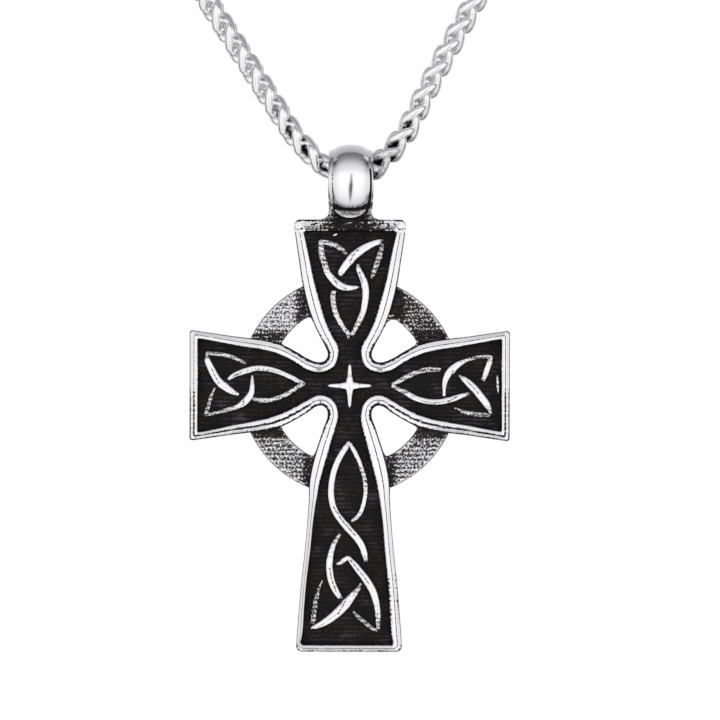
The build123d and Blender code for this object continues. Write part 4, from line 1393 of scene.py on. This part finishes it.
# Each link's place along the chain, whether it is turned a quarter round, and its roll: first
# those of the left side, then the few inside the bail, which share out the roll, then the right's
places = [(left_at - k * LINK_STEP, k % 2, LEFT_ROLL) for k in range(left_count, -1, -1)]
between = round((RIGHT_START - LEFT_START) / LINK_STEP)
for k in range(1, between):
    share = k / between
    places.append((left_at * (1 - share) + right_at * share, k % 2,
                   LEFT_ROLL * (1 - share) + RIGHT_ROLL * share))
places += [(right_at + k * LINK_STEP, (k + between) % 2, RIGHT_ROLL) for k in range(right_count + 1)]
chain_parts = {"near": [], "left": [], "right": []}
seek = 0
for want, turned, rolled in places:
    while route_reach[seek + 1] < want:
        seek += 1
    gap = route_reach[seek + 1] - route_reach[seek]
    place = route_points[seek].lerp(route_points[seek + 1], (want - route_reach[seek]) / gap)
    ahead_at = min(len(route_points) - 1, seek + 1)
    while ahead_at < len(route_points) - 1 and route_reach[ahead_at] < want + LOOK_AHEAD:
        ahead_at += 1
    along = (route_points[ahead_at] - place).normalized()
    flat = Vector((0, 1, 0))
    side = flat.cross(along)
    upright = Matrix((side, flat, along)).transposed().to_4x4()
    roll = Matrix.Rotation(math.radians(rolled + 90 * turned), 4, "Z")
    near = place.z < NEAR_BAIL_UP
    part = "near" if near else ("left" if place.x < 0 else "right")
    source = (fine_links if near else plain_links)[turned]
    link = source.copy()
    link.data = source.data.copy()
    bpy.context.scene.collection.objects.link(link)
    link.data.transform(Matrix.Translation(place) @ upright @ roll)
    chain_parts[part].append(link)
for link in fine_links + plain_links:
    bpy.data.objects.remove(link)
chain_steel = casting_finish("chain_wire", lines=0.0, fine=3.0, ragged=0.5, edge=0.3, polish=0.12,
                             depth=0.002, steel=CHAIN_STEEL, metal=0.8)
for part, links in chain_parts.items():
    stretch = join(links, f"chain_{part}")
    for corner, item in zip(stretch.data.vertices, stretch.data.attributes["oxide_and_painted_shade"].data):
        item.value = chain_shade(corner.co, item.value)
    stretch.data.transform(Matrix.Scale(MM, 4))
    bpy.ops.object.shade_smooth()
    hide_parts("wheat_chain")
    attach(stretch, "necklace")
    stretch.data.materials.append(chain_steel)

# The end caps and jump rings.
# Turned steel cups glued over the chain's ends, each with a cast eye,
# and two rings of round wire, bent and soldered, that hold them to the clasp.
# Where the rings' middles are on the chain's line, a ring's own size, and how far from its ring's
# middle an eye is, and the closed end of a cap
CLAW_RING_X = 5.85
TAIL_RING_X = -6.5
RING_MIDDLE = 2.1
RING_WIRE = 0.4
EYE_FROM_RING = 2.2
CAP_FROM_RING = 3.2
# A cap's section: along from its closed end, and out
CAP_SECTION = ((0.0, 0.0), (0.0, 0.62), (0.06, 0.98), (0.22, 1.28), (0.50, 1.47), (0.86, 1.55),
               (1.15, 1.55), (1.22, 1.46), (1.34, 1.46), (1.41, 1.55), (1.62, 1.55), (1.69, 1.46),
               (1.81, 1.46), (1.88, 1.55), (4.30, 1.50), (4.42, 1.42), (4.52, 1.42), (4.62, 1.52),
               (4.78, 1.55), (4.92, 1.52), (5.0, 1.42), (5.0, 1.24), (4.92, 1.15), (1.1, 1.15),
               (1.1, 0.0))
CAP_STEPS = 48
EYE_MIDDLE = 0.9
EYE_WIRE = 0.3
EYE_DEEP = 1.33
# Black oxide is left in the grooves round a cap, between these radii and places along it
GROOVES_OUT = (1.35, 1.48)
GROOVES_ALONG = (1.0, 4.6)
GROOVE_OXIDE = 0.9
BARE_OXIDE = 0.1
# A jump ring's wire is thicker at its solder seam, and for this turn (in radians) beside it
SOLDER_SWELL = 0.09
SOLDER_TURN = 0.16
FINDING_STEEL = (0.94, 0.94, 0.945, 1)
finding_steel = casting_finish("finding_polish", lines=0.0, fine=2.5, ragged=0.8, edge=0.25,
                               polish=0.14, depth=0.003, steel=FINDING_STEEL)


def cap_oxide(corner, root):
    """Oxide on a cap whose closed end is at root: in its grooves, and hardly any elsewhere."""
    in_groove = GROOVES_OUT[0] < corner.yz.length < GROOVES_OUT[1]
    along = GROOVES_ALONG[0] < abs(corner.x - root) < GROOVES_ALONG[1]
    return GROOVE_OXIDE if in_groove and along else BARE_OXIDE


def fasten(piece, node, oxide_and_painted_shade):
    """Place a finished finding on the chain, in metres, with its oxide."""
    keep_oxide_and_shade(piece, oxide_and_painted_shade)
    piece.data.transform(Matrix.Scale(MM, 4))
    pick(piece)
    bpy.ops.object.shade_smooth_by_angle(angle=math.radians(40))
    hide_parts(node)
    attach(piece, "necklace")
    piece.data.materials.append(finding_steel)


def wire_ring(name, x, middle, wire, upright, deep=1.0):
    """A ring of round wire round a point on the chain's line, upright in the loop or across it."""
    turn = (math.pi / 2, 0, 0) if upright else (0, 0, 0)
    bpy.ops.mesh.primitive_torus_add(major_segments=48, minor_segments=16, major_radius=middle,
                                     minor_radius=wire, location=(x, 0, 0), rotation=turn)
    bpy.context.object.scale = (1, 1, deep)
    return settle(name)


for side, name, ring_x in ((-1, "left", TAIL_RING_X), (1, "right", CLAW_RING_X)):
    root = ring_x + side * CAP_FROM_RING
    section = [(root + side * along, r, 0) for along, r in CAP_SECTION]
    cup = spin_section(section, f"cap_cup_{name}", (1, 0, 0), CAP_STEPS, closed=False)
    eye_x = ring_x + side * EYE_FROM_RING
    eye = wire_ring(f"cap_eye_{name}", eye_x, EYE_MIDDLE, EYE_WIRE, True, EYE_DEEP)
    cap = join([cup, eye], f"cap_{name}")
    fasten(cap, f"end_cap_{name}", lambda corner: cap_oxide(corner, root))
    ring = wire_ring(f"ring_{name}", ring_x, RING_MIDDLE, RING_WIRE, False)
    for corner in ring.data.vertices:
        from_solder = abs(math.atan2(corner.co.y, side * (corner.co.x - ring_x)) - math.pi / 2)
        swell = 1 + SOLDER_SWELL * max(0.0, 1 - from_solder / SOLDER_TURN)
        middle = Vector((corner.co.x - ring_x, corner.co.y, 0)).normalized() * RING_MIDDLE
        middle.x += ring_x
        corner.co = middle + (corner.co - middle) * swell
    fasten(ring, f"jump_ring_{name}", lambda corner: BARE_OXIDE)

# The lobster clasp.
# A cast steel claw with an eye on its tail. A sprung gate, hinged on a pin, closes its upper
# side, and a thumb lever on the gate opens it. Places are across and up, in millimetres.
CLAW_MIDDLE = 1.025
CLAW_HALF = (3.925, 1.95)
CLAW_BAR = 0.55
CLAW_DEEP = 0.85 / CLAW_BAR
TAIL_EYE_X = -4.2
TAIL_EYE_MIDDLE = 1.0
# The fine cuts at both ends of the gate: across, up and how far they lean, and a cut's size
GATE_CUTS = ((-0.9, 1.72, -22), (3.75, 1.42, 42))
GATE_CUT = (0.12, 3, 1.6)
PIN_X = -0.35
PIN_UP = 1.86
PIN_RADIUS = 0.26
PIN_LONG = 1.78
PIN_BEVEL = 0.05
LEVER_X = 2.3
LEVER_UP = 2.28
LEVER_HALF = (0.55, 0.42, 0.34)
LEVER_LEAN = 14
bpy.ops.curve.primitive_bezier_circle_add(radius=1, location=(0, 0, 0))
claw_line = bpy.context.object.data
claw_line.transform(Matrix.Diagonal((*CLAW_HALF, 1, 1)))
for knot in claw_line.splines[0].bezier_points:
    knot.radius = 1  # which the line's transform has scaled too
claw_line.dimensions = "3D"
claw_line.resolution_u = 24
claw_line.bevel_depth = CLAW_BAR
claw_line.bevel_resolution = 5
bpy.ops.object.convert(target="MESH")
claw = bpy.context.object
claw.name = "clasp_claw"
claw.data.transform(Matrix.Translation((CLAW_MIDDLE, 0, 0)) @ Matrix.Rotation(math.pi / 2, 4, "X")
                    @ Matrix.Diagonal((1, 1, CLAW_DEEP, 1)))
for x, up, lean in GATE_CUTS:
    bpy.ops.mesh.primitive_cube_add(size=1, location=(x, 0, up), rotation=(0, math.radians(lean), 0),
                                    scale=GATE_CUT)
    cut_away(claw, bpy.context.object)
tail = wire_ring("clasp_tail", TAIL_EYE_X, TAIL_EYE_MIDDLE, EYE_WIRE, True, EYE_DEEP)
bpy.ops.mesh.primitive_cylinder_add(vertices=24, radius=PIN_RADIUS, depth=PIN_LONG,
                                    location=(PIN_X, 0, PIN_UP), rotation=(math.pi / 2, 0, 0))
pin = settle("clasp_pin")
edit_all()
bpy.ops.mesh.bevel(offset=PIN_BEVEL, segments=2, affect="EDGES")
bpy.ops.object.mode_set(mode="OBJECT")
bpy.ops.mesh.primitive_uv_sphere_add(segments=24, ring_count=12, radius=1, scale=LEVER_HALF,
                                     location=(LEVER_X, 0, LEVER_UP),
                                     rotation=(0, math.radians(LEVER_LEAN), 0))
lever = settle("clasp_lever")
clasp = join([claw, tail, pin, lever], "clasp")
fasten(clasp, "lobster_clasp", lambda corner: BARE_OXIDE)
